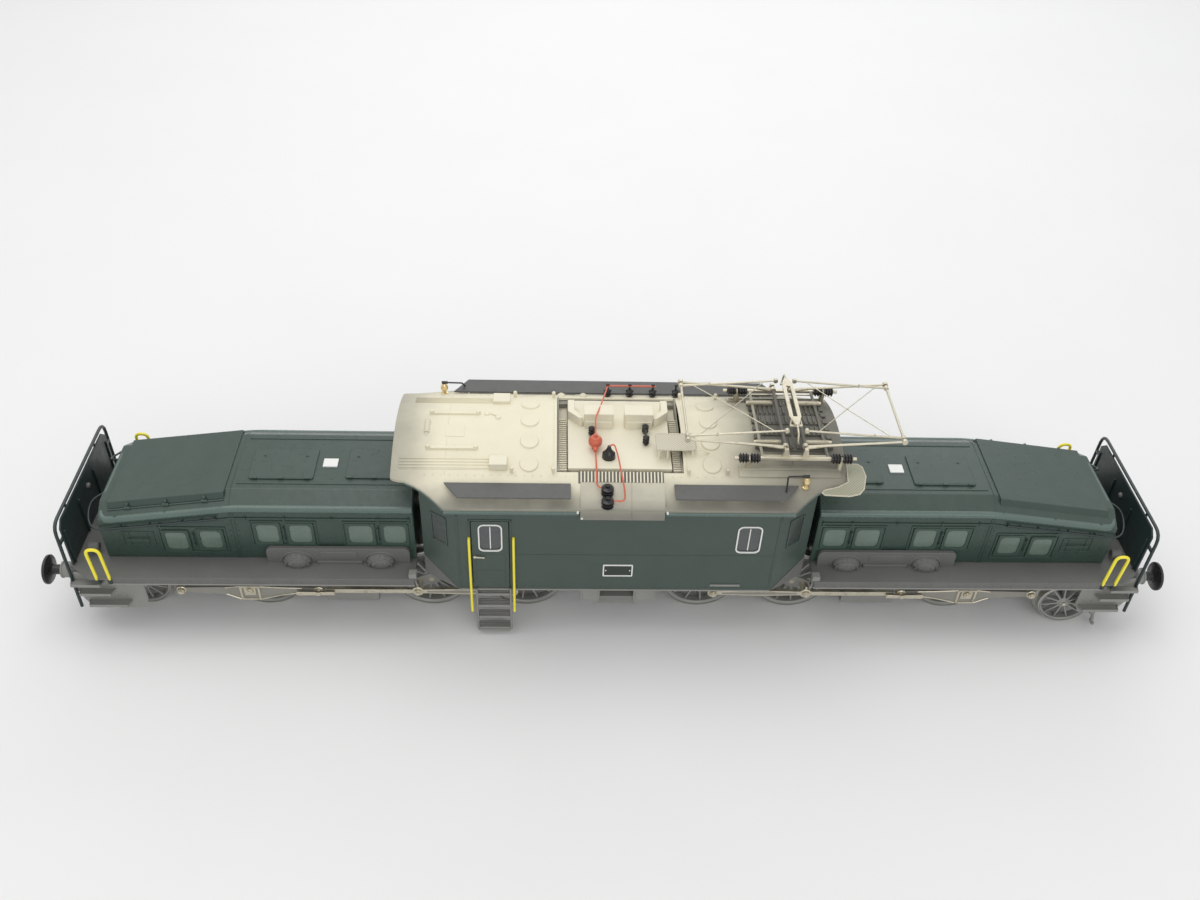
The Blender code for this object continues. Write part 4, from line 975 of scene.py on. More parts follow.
def hood_lids(end):
    """The nose lid and two hatches with their hinges and catches, the seams and a plain white label."""
    bm = new_shape()
    sections = []
    for x in LID_X:
        lid_top = rib_height(x) + HOOD_RISE + 0.8
        foot = hood_height(x, LID_SIDE) - 0.4
        inner = LID_SIDE - 1.8
        sections.append([(x, -LID_SIDE, foot), (x, -inner, lid_top), (x, inner, lid_top),
                         (x, LID_SIDE, foot)])
    add_loft(bm, sections)
    for x, y in HATCHES:
        add_on_hood(bm, x, y, -0.3, 0.8)
    end_piece(end, "hood_lids", bm, "green_top", "bogie", bevel=0.35)
    trim = new_shape()
    hinge_side = ENDS[end]
    y = hinge_side * (LID_SIDE + 0.3)
    add_tube(trim, [(x, y, hood_height(x, y) + 0.3) for x in LID_X], 0.5, 8)
    for x in LID_HINGE_X:
        z = hood_height(x, y) + 0.6
        add_bar(trim, (x - 1.5, y, z), (x + 1.5, y, z), 0.9, 12)
        add_box(trim, about(x, 0.6), (y, y - hinge_side * 1.6), (z, z + 2.4))
    for x in (203.0, 232.0, 258.0):
        for side in SIDES.values():
            z = rib_height(x) + 0.7
            add_box(trim, about(x, 0.7), (side * (HOOD_SIDE - 3.0), side * (HOOD_SIDE - 0.6)),
                    (z - 1.0, z + 0.5))
    for x, y in (((158.8, 191.0), -14.4), ((112.5, 141.5), -13.4)):
        z = rib_height(x[0]) + HOOD_RISE
        add_bar(trim, (x[0], y, z + 0.5), (x[1], y, z + 0.5), 0.4, 8)
        for share in (0.08, 0.5, 0.92):
            middle = x[0] + (x[1] - x[0]) * share
            add_bar(trim, (middle - 1.3, y, z + 0.8), (middle + 1.3, y, z + 0.8), 0.65, 10)
    for x in (164.0, 186.0, 118.0, 137.0):
        z = hood_height(x, 3.0) + 0.55
        add_box(trim, about(x, 1.4), (2.6, 3.4), (z - 0.2, z + 0.35))
        add_bar(trim, (x, 3.0, z), (x, 3.0, z + 0.7), 0.5, 10)
    top = HOOD_RIB[0] + HOOD_RISE
    for side in SIDES.values():
        add_box(trim, (109.0, 197.0), (side * 17.4, side * 18.2), (top - 0.3, top + 0.35))
    for x in (106.6, 199.2):
        strip = [(x, -HOOD_SIDE + 0.2, rib_height(x)), (x, -HOOD_FLAT, rib_height(x) + HOOD_RISE),
                 (x, HOOD_FLAT, rib_height(x) + HOOD_RISE), (x, HOOD_SIDE - 0.2, rib_height(x))]
        add_tube(trim, strip, 0.32, 6)
    end_piece(end, "hood_hinges", trim, "green_top", "bogie", bevel=0.1)
    label = new_shape()
    add_on_hood(label, (147.2, 154.8), (-4.9, 1.4), -0.2, 0.7)
    end_piece(end, "hood_label", label, "white", "bogie", bevel=0.12)


HOOD_PANES = (
    ((110.4, 121.8), (54.9, 67.6)),
    ((127.6, 140.0), (54.9, 67.6)),
    ((159.2, 170.4), (54.9, 67.6)),
    ((176.2, 187.4), (54.9, 67.6)),
    ((206.2, 217.0), (50.4, 62.8)),
    ((224.0, 235.0), (49.4, 61.6)),
)


def hood_windows(end):
    """Raised double frames with rounded grey-green panes on both sides of the hood."""
    frames, panes, catches = new_shape(), new_shape(), new_shape()
    for side in SIDES.values():
        wall = side * HOOD_SIDE
        for x, z in HOOD_PANES:
            hole = rounded_rect(x, z, 2.4)
            add_plate(frames, rounded_rect(*grown_rect(x, z, 1.5), 1.0), "Y", around(wall, side, 0.3, 0.8),
                      holes=[hole])
            add_plate(panes, rounded_rect(*grown_rect(x, z, 0.3), 2.4), "Y",
                      around(wall, side, 0.3, 0.25))
        for first, second in ((0, 1), (2, 3), (4, 5)):
            (x0, _), (z0, z1) = HOOD_PANES[first]
            _, x1 = HOOD_PANES[second][0]
            middle = (HOOD_PANES[first][0][1] + HOOD_PANES[second][0][0]) / 2
            low_z = min(z0, HOOD_PANES[second][1][0])
            for level in (low_z - 2.3, z1 + 2.2):
                add_box(catches, (x0 - 2.6, x1 + 2.6), around(wall, side, 0.2, 0.55),
                        about(level, 0.45))
            for x in (x0 - 2.6, x1 + 2.6):
                add_box(catches, about(x, 0.4), around(wall, side, 0.2, 0.5),
                        (low_z - 2.6, z1 + 2.5))
            for level in (z0 + 2.5, z1 - 2.5):
                add_bar(catches, (middle, wall, level), (middle, wall + side * 1.6, level), 0.6, 10)
            add_bar(catches, (middle, wall + side * 1.3, z0 + 1.4), (middle, wall + side * 1.3, z1 - 1.4),
                    0.4, 8)
    end_piece(end, "hood_window_frames", frames, "green_paint", "bogie", bevel=0.2)
    end_piece(end, "hood_panes", panes, "hood_glass", "bogie")
    end_piece(end, "hood_catches", catches, "green_paint", "bogie", bevel=0.12)


def hood_side_trim(end):
    """Gutters with hooks, corner posts, the seam at the break, louvres and rivets."""
    bm, rivets = new_shape(), new_shape()
    for side in SIDES.values():
        wall = side * HOOD_SIDE
        gutter = [(x, wall + side * 0.35, rib_height(x) - GUTTER_DROP) for x in (DECK_INNER + 1.5,
                                                                                 HOOD_BREAK, 262.0)]
        add_tube(bm, gutter, 0.45, 8)
        for x in GUTTER_HOOK_X:
            z = rib_height(x) - GUTTER_DROP
            add_box(bm, about(x, 0.5), around(wall, side, 0.0, 1.2), about(z, 0.9))
        for x, wide in ((DECK_INNER + 1.2, 1.1), (HOOD_BREAK - 0.6, 0.5), (HOOD_BREAK + 1.0, 0.5)):
            add_box(bm, (x - wide / 2, x + wide / 2), around(wall, side, 0.2, 0.3),
                    (HOOD_BASE + 0.1, rib_height(x) - 2.6))
        for level in (52.0, 61.5):
            add_box(bm, (240.5, 257.0), around(wall, side, 0.2, 0.35), about(level, 0.3))
        for x in (240.8, 244.0, 253.6, 256.7):
            add_box(bm, about(x, 0.3), around(wall, side, 0.2, 0.4), (52.0, 61.5))
        add_bar(bm, (242.6, wall + side * 1.2, 56.6), (255.0, wall + side * 1.2, 56.6), 0.35, 8)
        for index in range(26):
            x = 110.0 + 152.0 * index / 25
            add_rivet(rivets, (x, wall, HOOD_BASE + 1.6), side, 0.3, 0.32)
        for x in (HOOD_BREAK - 2.0, HOOD_BREAK + 2.4):
            for level in range(7):
                add_rivet(rivets, (x, wall, 47.0 + 4.0 * level), side, 0.3, 0.32)
    end_piece(end, "hood_gutters", bm, "green_paint", "bogie", bevel=0.12)
    end_piece(end, "hood_rivets", rivets, "green_paint", "bogie")


def hood_eaves(end):
    """The rounded bead that runs along both eaves and round the nose; its lighter green is a painted
    highlight.
    """
    bm = new_shape()
    out = HOOD_SIDE - 1.3
    start, fold, nose = [rib_height(x) - 0.8 for x in (DECK_INNER, HOOD_BREAK, HOOD_NOSE)]
    path = [(DECK_INNER + 0.4, -out, start), (HOOD_BREAK, -out, fold), (HOOD_NOSE - 1.6, -out, nose),
            (HOOD_NOSE - 1.6, -HOOD_FLAT + 2.0, nose + HOOD_RISE - 1.0),
            (HOOD_NOSE - 1.6, HOOD_FLAT - 2.0, nose + HOOD_RISE - 1.0), (HOOD_NOSE - 1.6, out, nose),
            (HOOD_BREAK, out, fold), (DECK_INNER + 0.4, out, start)]
    add_tube(bm, path, EAVE_RADIUS, 16, bend=5.0)
    end_piece(end, "hood_eaves", bm, "bead_highlight_green", "bogie")


def hood_handrail(end):
    """The wire rail that runs along the eaves and bows round the nose."""
    bm = new_shape()
    out = HOOD_SIDE + 1.7
    z = [rib_height(x) - 5.0 for x in (206.0, 258.0)]
    path = [(206.0, -out, z[0]), (258.0, -out, z[1]), (270.0, -out, z[1] - 1.5),
            (275.0, -25.0, z[1] - 0.5), (275.0, -16.0, z[1] + 4.0), (268.0, -13.0, z[1] + 7.0)]
    add_tube(bm, path, 0.55, 10, bend=6.0)
    add_tube(bm, [(x, -y, level) for x, y, level in path], 0.55, 10, bend=6.0)
    for side in SIDES.values():
        for x in HANDRAIL_POST_X:
            level = rib_height(x) - 5.0
            add_bar(bm, (x, side * (HOOD_SIDE - 0.3), level), (x, side * (out + 0.2), level), 0.6, 10)
    end_piece(end, "hood_handrail", bm, "dark_steel", "bogie")


def vent_strip(end):
    """The rounded grey strip beside the hood with its two ribbed half domes."""
    strip, domes = new_shape(), new_shape()
    for side in SIDES.values():
        faces = (side * (HOOD_SIDE + 0.6), side * (HOOD_SIDE + 3.0))
        add_plate(strip, rounded_rect(VENT_X, (39.0, 52.8), 3.0, 6), "Y", faces)
        add_box(strip, (134.0, 158.0), (side * (HOOD_SIDE + 2.8), side * (HOOD_SIDE + 4.4)), (42.0, 44.6))
        add_plate(strip, rounded_rect((136.5, 156.0), (46.4, 50.6), 1.2), "Y",
                  (side * (HOOD_SIDE + 2.8), side * (HOOD_SIDE + 3.4)))
        for x in DOME_X:
            start = len(domes.verts)
            add_dome(domes, (0, 0, 0), (7.4, 5.6, 5.4), 32, 8)
            turn_verts(domes, start, -side * math.pi / 2, "X", (0, 0, 0))
            bmesh.ops.translate(domes, vec=Vector((x, side * (HOOD_SIDE + 2.4), DOME_HEIGHT)) * MM,
                                verts=domes.verts[start:])
            for index in range(DOME_RIBS):
                fan = math.pi * (index + 0.5) / DOME_RIBS
                hub = (x + 2.6 * math.cos(fan), side * (HOOD_SIDE + 7.6), DOME_HEIGHT + 1.8 * math.sin(fan))
                rim = (x + 7.0 * math.cos(fan), side * (HOOD_SIDE + 4.6), DOME_HEIGHT + 5.2 * math.sin(fan))
                add_tube(domes, [hub, rim], 0.5, 6)
            for wide, out_by in ((8.6, 2.9), (6.0, 6.2)):
                arc = [(x + wide * math.cos(t), side * (HOOD_SIDE + out_by),
                        43.4 + wide * 0.82 * math.sin(t))
                       for t in [math.pi * step / 14 for step in range(15)]]
                add_tube(domes, arc, 0.6, 8)
    end_piece(end, "vent_strips", strip, "deck_grey", "bogie", bevel=0.3)
    end_piece(end, "vent_domes", domes, "deck_grey", "bogie", bevel=0.2)


def deck(end):
    """The running board with valances, a lighter worn edge, inner brackets and rivets."""
    board, edge, rivets = new_shape(), new_shape(), new_shape()
    outline = [(DECK_INNER, -DECK_EDGE), (274.0, -DECK_EDGE), (DECK_OUTER, -37.0), (DECK_OUTER, 37.0),
               (274.0, DECK_EDGE), (DECK_INNER, DECK_EDGE), (DECK_INNER, BAY_SIDE), (BAY_END, BAY_SIDE),
               (BAY_END, -BAY_SIDE), (DECK_INNER, -BAY_SIDE)]
    add_plate(board, outline, "Z", (DECK_TOP - 2.0, DECK_TOP))
    add_box(board, (283.0, 287.0), (-39.0, 39.0), (24.0, 41.0))
    for side in SIDES.values():
        add_box(board, (DECK_INNER + 0.2, 262.0), (side * (DECK_EDGE - 1.4), side * DECK_EDGE),
                (38.4, 41.2))
        add_box(edge, (DECK_INNER, 264.0), (side * (DECK_EDGE - 0.9), side * (DECK_EDGE + 0.3)),
                (37.6, 38.6))
        add_box(edge, (DECK_INNER - 1.0, DECK_INNER + 3.0), (side * 41.5, side * 45.5), (42.4, 45.6))
        for lean in (-2.2, 2.2):
            add_bar(edge, (DECK_INNER + 1.0, side * 43.6, 43.0),
                    (DECK_INNER + 1.0 + lean, side * 44.4, 35.4), 0.6, 8)
        for index in range(32):
            add_rivet(rivets, (112.0 + 4.8 * index, side * DECK_EDGE, 40.0), side, 0.25, 0.35)
    for y in range(-34, 35, 17):
        for level in (27.0, 38.0):
            add_bar(rivets, (BEAM_FACE, y + 0.5, level), (BEAM_FACE + 0.5, y + 0.5, level), 0.6, 8)
    end_piece(end, "running_board", board, "deck_grey", "bogie", ["deck"], bevel=0.3)
    end_piece(end, "deck_edges", edge, "frame_grey", "bogie", bevel=0.15)
    end_piece(end, "deck_rivets", rivets, "deck_grey", "bogie")


STEP_TREADS = ((268.0, 286.0, 35.0), (264.0, 283.0, 28.2), (257.0, 280.0, 19.6))


def corner_steps(end):
    """Three treads with turned-up lips on a riveted back plate."""
    bm, rivets = new_shape(), new_shape()
    for side in SIDES.values():
        inner = 256.0 if TRUCK_SWING[end] else 249.0
        plate = [(inner, 41.0), (inner, 21.0), (inner + 3.0, 14.5), (279.0, 14.5), (283.4, 24.0),
                 (283.4, 41.0)]
        add_plate(bm, plate, "Y", (side * 40.2, side * 41.4))
        for start, end_x, height in STEP_TREADS:
            tread = [(start, side * 40.8), (start + 1.6, side * 46.0), (end_x - 1.6, side * 46.0),
                     (end_x, side * 40.8)]
            add_plate(bm, tread, "Z", (height, height + 0.9))
            add_box(bm, (start + 1.4, end_x - 1.4), (side * 45.4, side * 46.1), (height, height + 1.8))
            for x in (start + 0.4, end_x - 0.4):
                lean = 1.2 if x < (start + end_x) / 2 else -1.2
                add_bar(bm, (x, side * 41.4, height + 1.0), (x + lean, side * 45.8, height + 1.0), 0.4, 6)
        for x in (259.5, 264.0, 268.5, 273.0, 277.5):
            for level in (17.0, 24.0, 32.0, 39.0):
                add_rivet(rivets, (x, side * 41.4, level), side, 0.35, 0.35)
    end_piece(end, "corner_steps", bm, "frame_grey", "bogie", bevel=0.18)
    end_piece(end, "step_rivets", rivets, "frame_grey", "bogie")


def yellow_grips(end):
    """The two yellow bent grips that stand on the deck's outer corners."""
    bm, feet = new_shape(), new_shape()
    for side in SIDES.values():
        path = [(x, side * GRIP_Y, z) for x, z in ((263.0, 38.0), (264.0, 62.8), (270.8, 62.8),
                                                   (269.6, 38.0))]
        add_tube(bm, path, 0.85, 12, bend=3.3)
        for x in (263.1, 269.7):
            add_bar(feet, (x, side * 45.4, 38.4), (x, side * 45.4, 41.0), 1.5, 12)
    end_piece(end, "yellow_grips", bm, "yellow", "bogie")
    end_piece(end, "grip_feet", feet, "dark_steel", "bogie", bevel=0.15)


def end_screen(end):
    """The riveted screen at the deck's end with its bent tube rail, knob and two lamps."""
    rail, screen, lamp = new_shape(), new_shape(), new_shape()
    path = [(RAIL_X, -RAIL_SIDE - 1.4, RAIL_FOOT), (RAIL_X, -RAIL_SIDE, RAIL_TOP),
            (RAIL_X, RAIL_SIDE, RAIL_TOP),
            (RAIL_X, RAIL_SIDE + 1.4, RAIL_FOOT)]
    add_tube(rail, path, 0.9, 12, bend=6.5)
    for side in SIDES.values():
        add_box(rail, (RAIL_X - 1.0, RAIL_X + 0.2), (side * 35.0, side * 41.2), (61.8, 63.4))
        add_bar(rail, (RAIL_X - 0.3, side * 24.0, 69.5), (RAIL_X, side * 24.0, RAIL_TOP), 0.7, 10)
    outline = [(-SCREEN_SIDE, HOOD_BASE), (SCREEN_SIDE, HOOD_BASE), (SCREEN_SIDE, 69.0), (33.6, 72.8),
               (-33.6, 72.8), (-SCREEN_SIDE, 69.0)]
    add_plate(screen, outline, "X", (RAIL_X - 1.2, RAIL_X - 0.2))
    for y in (-35.0, -12.0, 12.0, 35.0):
        add_box(screen, (RAIL_X - 2.0, RAIL_X - 1.0), about(y, 0.5), (HOOD_BASE, 66.0))
    for z in (45.0, 56.0, 67.5):
        for y in range(-30, 31, 6):
            add_bar(screen, (RAIL_X - 0.3, y, z), (RAIL_X + 0.15, y, z), 0.35, 6)
    can = [(0.0, 5.4), (2.0, 5.4), (2.5, 4.8), (2.5, 0.0), (0.0, 0.0)]
    for y in (-LAMP_Y, LAMP_Y):
        add_turned(lamp, can, (278.0, y, LAMP_HEIGHT), (-1, 0, 0), 24)
        add_box(lamp, (276.0, 277.6), about(y, 0.8), (HOOD_BASE, LAMP_HEIGHT - 2.6))
    knob = [(0.0, 1.8), (1.0, 1.6), (1.5, 0.8), (1.5, 0.0), (0.0, 0.0)]
    add_turned(lamp, knob, (RAIL_X - 1.2, 1.2, 64.0), (-1, 0, 0), 16)
    end_piece(end, "end_rail", rail, "dark_steel", "bogie", ["end_panel"])
    end_piece(end, "end_screen", screen, "dark_steel", "bogie", bevel=0.2)
    end_piece(end, "end_lamps", lamp, "deck_grey", "bogie", bevel=0.2)


def buffers(end):
    """Sprung buffers with domed heads, their ribbed sockets, and the draw hook."""
    sockets, hook = new_shape(), new_shape()
    for side_name, side in SIDES.items():
        y = side * BUFFER_Y
        socket = [(2.95, 0.0), (6.4, 0.0), (6.4, 1.0), (4.6, 1.4), (4.2, 6.6), (4.6, 7.0), (4.6, 7.8),
                  (2.95, 7.8)]
        add_turned(sockets, socket, (BEAM_FACE, y, BUFFER_HEIGHT), (1, 0, 0), 32, ring=True)
        head = new_shape()
        profile = [(0.0, 17.0), (4.0, 16.75), (7.0, 16.1), (7.9, 15.6), (8.0, 15.0), (8.0, 14.4),
                   (7.4, 13.9),
                   (3.6, 13.2), (2.7, 12.2), (2.7, 6.4), (0.0, 6.4)]
        add_turned(head, profile, (287.0, y, BUFFER_HEIGHT), (1, 0, 0), 40)
        end_piece(end, f"buffer_head_{side_name}", head, "buffer_black", f"buffer_{side_name}",
                  [f"buffer_{side_name}"], bevel=0.12)
    end_piece(end, "buffer_sockets", sockets, "frame_grey", "bogie", bevel=0.15)
    z = HOOK_HEIGHT
    outline = [(BEAM_FACE, z - 1.6), (294.5, z - 1.8), (297.5, z - 4.6), (301.0, z - 3.6), (302.6, z + 1.0),
               (300.4, z + 3.2), (299.4, z + 0.4), (297.2, z - 1.4), (296.4, z + 1.9), (BEAM_FACE, z + 1.6)]
    add_plate(hook, outline, "Y", (-1.1, 1.1))
    add_bar(hook, (293.0, -2.6, z), (293.0, 2.6, z), 0.9, 12)
    link = [(293.0, -2.1, z), (294.6, -2.3, z - 8.0), (295.0, 0.0, z - 10.4), (294.6, 2.3, z - 8.0),
            (293.0, 2.1, z)]
    add_tube(hook, link, 0.75, 8, bend=2.2)
    end_piece(end, "hook_and_link", hook, "buffer_black", "hook", ["draw_hook"], bevel=0.25)


def bogie(end):
    hood_shell(end)
    hood_lids(end)
    hood_windows(end)
    hood_eaves(end)
    hood_side_trim(end)
    hood_handrail(end)
    vent_strip(end)
    deck(end)
    corner_steps(end)
    yellow_grips(end)
    end_screen(end)
    buffers(end)


# ---------------------------------------------------------------- cab


def roof_height(y):
    return ROOF_CROWN - ROOF_FALL * (y / ROOF_SIDE) ** 2


def side_x(side, span):
    """A span given for the near side, half turned for the far side."""
    return tuple(sorted(-side * x for x in span))


def cab_walls():
    """Side walls with their openings, the chamfered corners and the arched end walls."""
    bm = new_shape()
    gap = 0.3
    for side in SIDES.values():
        door = side_x(side, (DOOR_X[0] - gap, DOOR_X[1] + gap))
        panes = side_x(side, WINDOW_X)
        e = CAB_SIDE_END
        top = DOOR_Z[1] + gap
        outline = [(-e, CAB_BASE), (door[0], CAB_BASE), (door[0], top), (door[1], top), (door[1], CAB_BASE),
                   (e, CAB_BASE), (e, CAB_TOP), (-e, CAB_TOP)]
        add_plate(bm, outline, "Y", (side * (CAB_SIDE - WALL), side * CAB_SIDE),
                  [rounded_rect(panes, WINDOW_Z, 2.4)])
    for end in (-1, 1):
        reach = CAB_END_SIDE - 0.2
        arch = [(share * reach, roof_height(share * reach) - 2.9)
                for share in [1.0 - step / 8 for step in range(17)]]
        low = CAB_END_SIDE - 2.6
        outline = [(-reach, CAB_BASE), (-low, CAB_BASE), (-low, BAY_TOP), (low, BAY_TOP), (low, CAB_BASE),
                   (reach, CAB_BASE), *arch]
        add_plate(bm, outline, "X", (end * (CAB_END - WALL), end * CAB_END))
        for side in SIDES.values():
            run, rise = CAB_END - CAB_SIDE_END, CAB_SIDE - CAB_END_SIDE
            out = [(end * CAB_SIDE_END, side * CAB_SIDE), (end * CAB_END, side * CAB_END_SIDE)]
            normal = Vector((end * rise, side * run)).normalized() * WALL
            back = [(x - normal.x, y - normal.y) for x, y in reversed(out)]
            add_plate(bm, out + back, "Z", (CAB_BASE, CAB_TOP))
    centre_piece("cab_walls", bm, "cab_green", ["cab_shell"], bevel=0.3)


def cab_side_trim():
    """Seams, cornices, corner strips, rivets and the sill strip on both long sides."""
    bm, sill, rivets, grey, cornice = new_shape(), new_shape(), new_shape(), new_shape(), new_shape()
    for side in SIDES.values():
        face = side * CAB_SIDE
        thin = around(face, side, 0.2, 0.18)
        e = CAB_SIDE_END
        door = side_x(side, DOOR_X)
        plain = side_x(side, (DOOR_X[1] + 1.4, e - 0.4))
        add_box(bm, plain, thin, CAB_SEAM)
        for x in (door[0] - 1.1, door[1] + 1.1):
            add_box(bm, about(x, 0.3), around(face, side, 0.2, 0.4), (CAB_BASE + 0.4, 87.2))
        add_box(bm, (door[0] - 1.4, door[1] + 1.4), around(face, side, 0.2, 0.4), (86.6, 87.2))
        for x in (-e + 0.6, e - 0.6):
            add_box(bm, about(x, 0.5), around(face, side, 0.3, 0.3), (CAB_BASE, 90.0))
        for low, high in (side_x(side, (-ROOF_SHOULDER, -20.8)), side_x(side, (22.8, ROOF_SHOULDER))):
            add_bar(cornice, (low, side * LIP_SIDE, LIP_HEIGHT), (high, side * LIP_SIDE, LIP_HEIGHT), 1.3,
                    16)
        add_box(sill, (-e, e), around(face, side, 1.2, 0.35), (CAB_BASE - 0.9, CAB_BASE + 0.1))
        for x in [-80.0 + 4.0 * index for index in range(41)]:
            if not door[0] - 2 < x < door[1] + 2:
                add_rivet(rivets, (x, face, 38.0), side, 0.28, 0.3)
        rail = side_x(side, (50.0, 66.0))
        add_box(grey, rail, around(face, side, 0.1, 0.7), (39.4, 40.6))
        for end in (-1, 1):
            path = [(end * x, side * (roof_side(x) - 1.2), roof_height(roof_side(x)) - ROOF_FASCIA - 0.6)
                    for x in ROOF_CURVE_X]
            add_tube(cornice, path, 1.1, 12)
    # The cornices' lighter green is a painted highlight.
    centre_piece("cab_cornice", cornice, "bead_highlight_green")
    centre_piece("cab_trim", bm, "cab_green", bevel=0.1)
    centre_piece("cab_sill", sill, "frame_grey", bevel=0.15)
    centre_piece("cab_rivets", rivets, "cab_green")
    centre_piece("cab_foot_rails", grey, "frame_grey", bevel=0.2)


def corner_panels():
    """What sits on the chamfered corners: a narrow dark window and the grey foot plate."""
    frames, panes, feet = new_shape(), new_shape(), new_shape()
    for end in (-1, 1):
        for side in SIDES.values():
            edge = Vector((end * CAB_SIDE_END, side * CAB_SIDE, 0.0))
            corner = Vector((end * CAB_END, side * CAB_END_SIDE, 0.0))
            along = (corner - edge).normalized()
            out = Vector((end * abs(along.y), side * abs(along.x), 0.0))
            length = (corner - edge).length

            def spot(share, z, lift):
                place = edge + along * (length * share) + out * lift
                return place.x, place.y, z

            def add_panel(bm, corners, lift):
                add_loft(bm, [[spot(share, z, level) for share, z in corners] for level in (-0.3, lift)])

            add_panel(panes, [(0.3, 66.0), (0.66, 66.0), (0.66, 84.0), (0.3, 84.0)], 0.15)
            for first, second in (((0.26, 65.2), (0.3, 84.8)), ((0.66, 65.2), (0.7, 84.8)),
                                  ((0.26, 84.0), (0.7, 84.9)), ((0.26, 65.1), (0.7, 66.0))):
                (u0, z0), (u1, z1) = first, second
                add_panel(frames, [(u0, z0), (u1, z0), (u1, z1), (u0, z1)], 0.55)
            add_panel(feet, [(0.02, CAB_BASE), (0.98, CAB_BASE), (0.98, 49.5)], 0.35)
    centre_piece("corner_window_frames", frames, "cab_green", bevel=0.15)
    centre_piece("corner_panes", panes, "dark_glass")
    centre_piece("corner_foot_plates", feet, "deck_grey", bevel=0.1)


def window_set(name, x, side, body):
    """A white rounded frame, dark glass and one upright bar in it."""
    frame_bm, pane = new_shape(), new_shape()
    face = side * CAB_SIDE
    span = around(face, side, 0.3, 0.5)
    add_plate(frame_bm, rounded_rect(*grown_rect(x, WINDOW_Z, 0.35), 2.9), "Y", span,
              holes=[rounded_rect(*grown_rect(x, WINDOW_Z, -0.4), 2.3)])
    middle = (x[0] + x[1]) / 2
    add_box(frame_bm, about(middle, 0.28), around(face, side, 0.6, 0.25),
            (WINDOW_Z[0] + 1.6, WINDOW_Z[1] - 1.6))
    add_plate(pane, rounded_rect(*grown_rect(x, WINDOW_Z, -0.3), 2.2), "Y",
              (face - side * 1.1, face - side * 0.5))
    piece(f"{name}_frame", frame_bm, "white", body, bevel=0.15)
    piece(f"{name}_glass", pane, "cab_glass", body)


def doors():
    """Each side's door with its panels, window and handle, and the window at the other end."""
    for side_name, side in SIDES.items():
        body = f"door_{side_name}"
        x = side_x(side, DOOR_X)
        pane_x = side_x(side, DOOR_PANE_X)
        face = side * CAB_SIDE
        leaf = new_shape()
        outline = [(x[0], DOOR_Z[0]), (x[1], DOOR_Z[0]), (x[1], DOOR_Z[1]), (x[0], DOOR_Z[1])]
        add_plate(leaf, outline, "Y", (face - side * 1.3, face),
                  holes=[rounded_rect(pane_x, WINDOW_Z, 2.4)])
        for low, high in ((40.0, 50.0), (52.0, 62.0)):
            add_plate(leaf, rounded_rect((x[0] + 2.0, x[1] - 2.0), (low, high), 0.8), "Y",
                      around(face, side, 0.3, 0.2))
        piece(f"door_leaf_{side_name}", leaf, "cab_green", body, [f"cab_door_{side_name}"], bevel=0.2)
        window_set(f"door_window_{side_name}", pane_x, side, body)
        handle = new_shape()
        lock, tip = side_x(side, (-73.6, -68.6))[:: -side]
        add_bar(handle, (lock, face, 61.0), (lock, face + side * 1.1, 61.0), 0.8, 12)
        add_tube(handle, [(lock, face + side * 1.0, 61.0), (tip, face + side * 1.1, 60.6)], 0.4, 8)
        piece(f"door_handle_{side_name}", handle, "rod_nickel", body)
        window_set(f"side_window_{side_name}", side_x(side, WINDOW_X), side, "centre_section")


def builders_plate():
    """A framed plate without lettering in the middle of each side."""
    frame_bm, plate = new_shape(), new_shape()
    for side in SIDES.values():
        face = side * CAB_SIDE
        x, z = side_x(side, PLATE_X), PLATE_Z
        add_plate(frame_bm, rounded_rect(x, z, 0.6), "Y", around(face, side, 0.2, 0.5),
                  holes=[rounded_rect((x[0] + 0.7, x[1] - 0.7), (z[0] + 0.7, z[1] - 0.7), 0.3)])
        add_plate(plate, rounded_rect((x[0] + 0.4, x[1] - 0.4), (z[0] + 0.4, z[1] - 0.4), 0.3), "Y",
                  around(face, side, 0.2, 0.2))
        for u in (x[0] + 1.6, x[1] - 1.6):
            add_bar(frame_bm, (u, face, (z[0] + z[1]) / 2), (u, face + side * 0.4, (z[0] + z[1]) / 2), 0.4,
                    8)
    centre_piece("plate_frames", frame_bm, "white", bevel=0.1)
    centre_piece("plates", plate, "plate_dark")


def cab_ladders():
    """Four-tread ladders under the doors, with yellow grab rails beside them."""
    for side_name, side in SIDES.items():
        bm, rails = new_shape(), new_shape()
        x = side_x(side, LADDER_X)
        out = side * 47.0
        outline = [(x[0], out, 37.0), (x[0], out, 3.8), (x[1], out, 3.8), (x[1], out, 37.0)]
        add_tube(bm, outline, 0.62, 10, bend=2.0)
        for height in TREAD_HEIGHTS:
            y = (side * 42.6, side * 46.8)
            for edge in y:
                add_box(bm, (x[0] + 0.3, x[1] - 0.3), about(edge, 0.35),
                        (height - 0.4, height + 1.2))
            for slat in range(1, 4):
                level = y[0] + (y[1] - y[0]) * slat / 4
                add_box(bm, (x[0] + 0.4, x[1] - 0.4), about(level, 0.28),
                        (height + 0.2, height + 0.8))
            for u in (x[0] + 0.4, x[1] - 0.4):
                add_box(bm, about(u, 0.35), y, (height - 0.2, height + 1.0))
        add_box(bm, x, (side * 43.3, side * 45.8), (34.5, 36.0))
        centre_piece(f"ladder_{side_name}", bm, "frame_grey", [f"cab_ladder_{side_name}"], bevel=0.12)
        for u in side_x(side, GRAB_RAIL_X):
            y = side * 47.7
            path = [(u, side * 45.6, 74.4), (u, y, 73.8), (u, y, 20.2)]
            add_tube(rails, path, 0.68, 10, bend=1.2)
            add_bar(rails, (u, side * 45.0, 38.4), (u, y, 38.4), 0.45, 8)
        centre_piece(f"grab_rails_{side_name}", rails, "yellow")


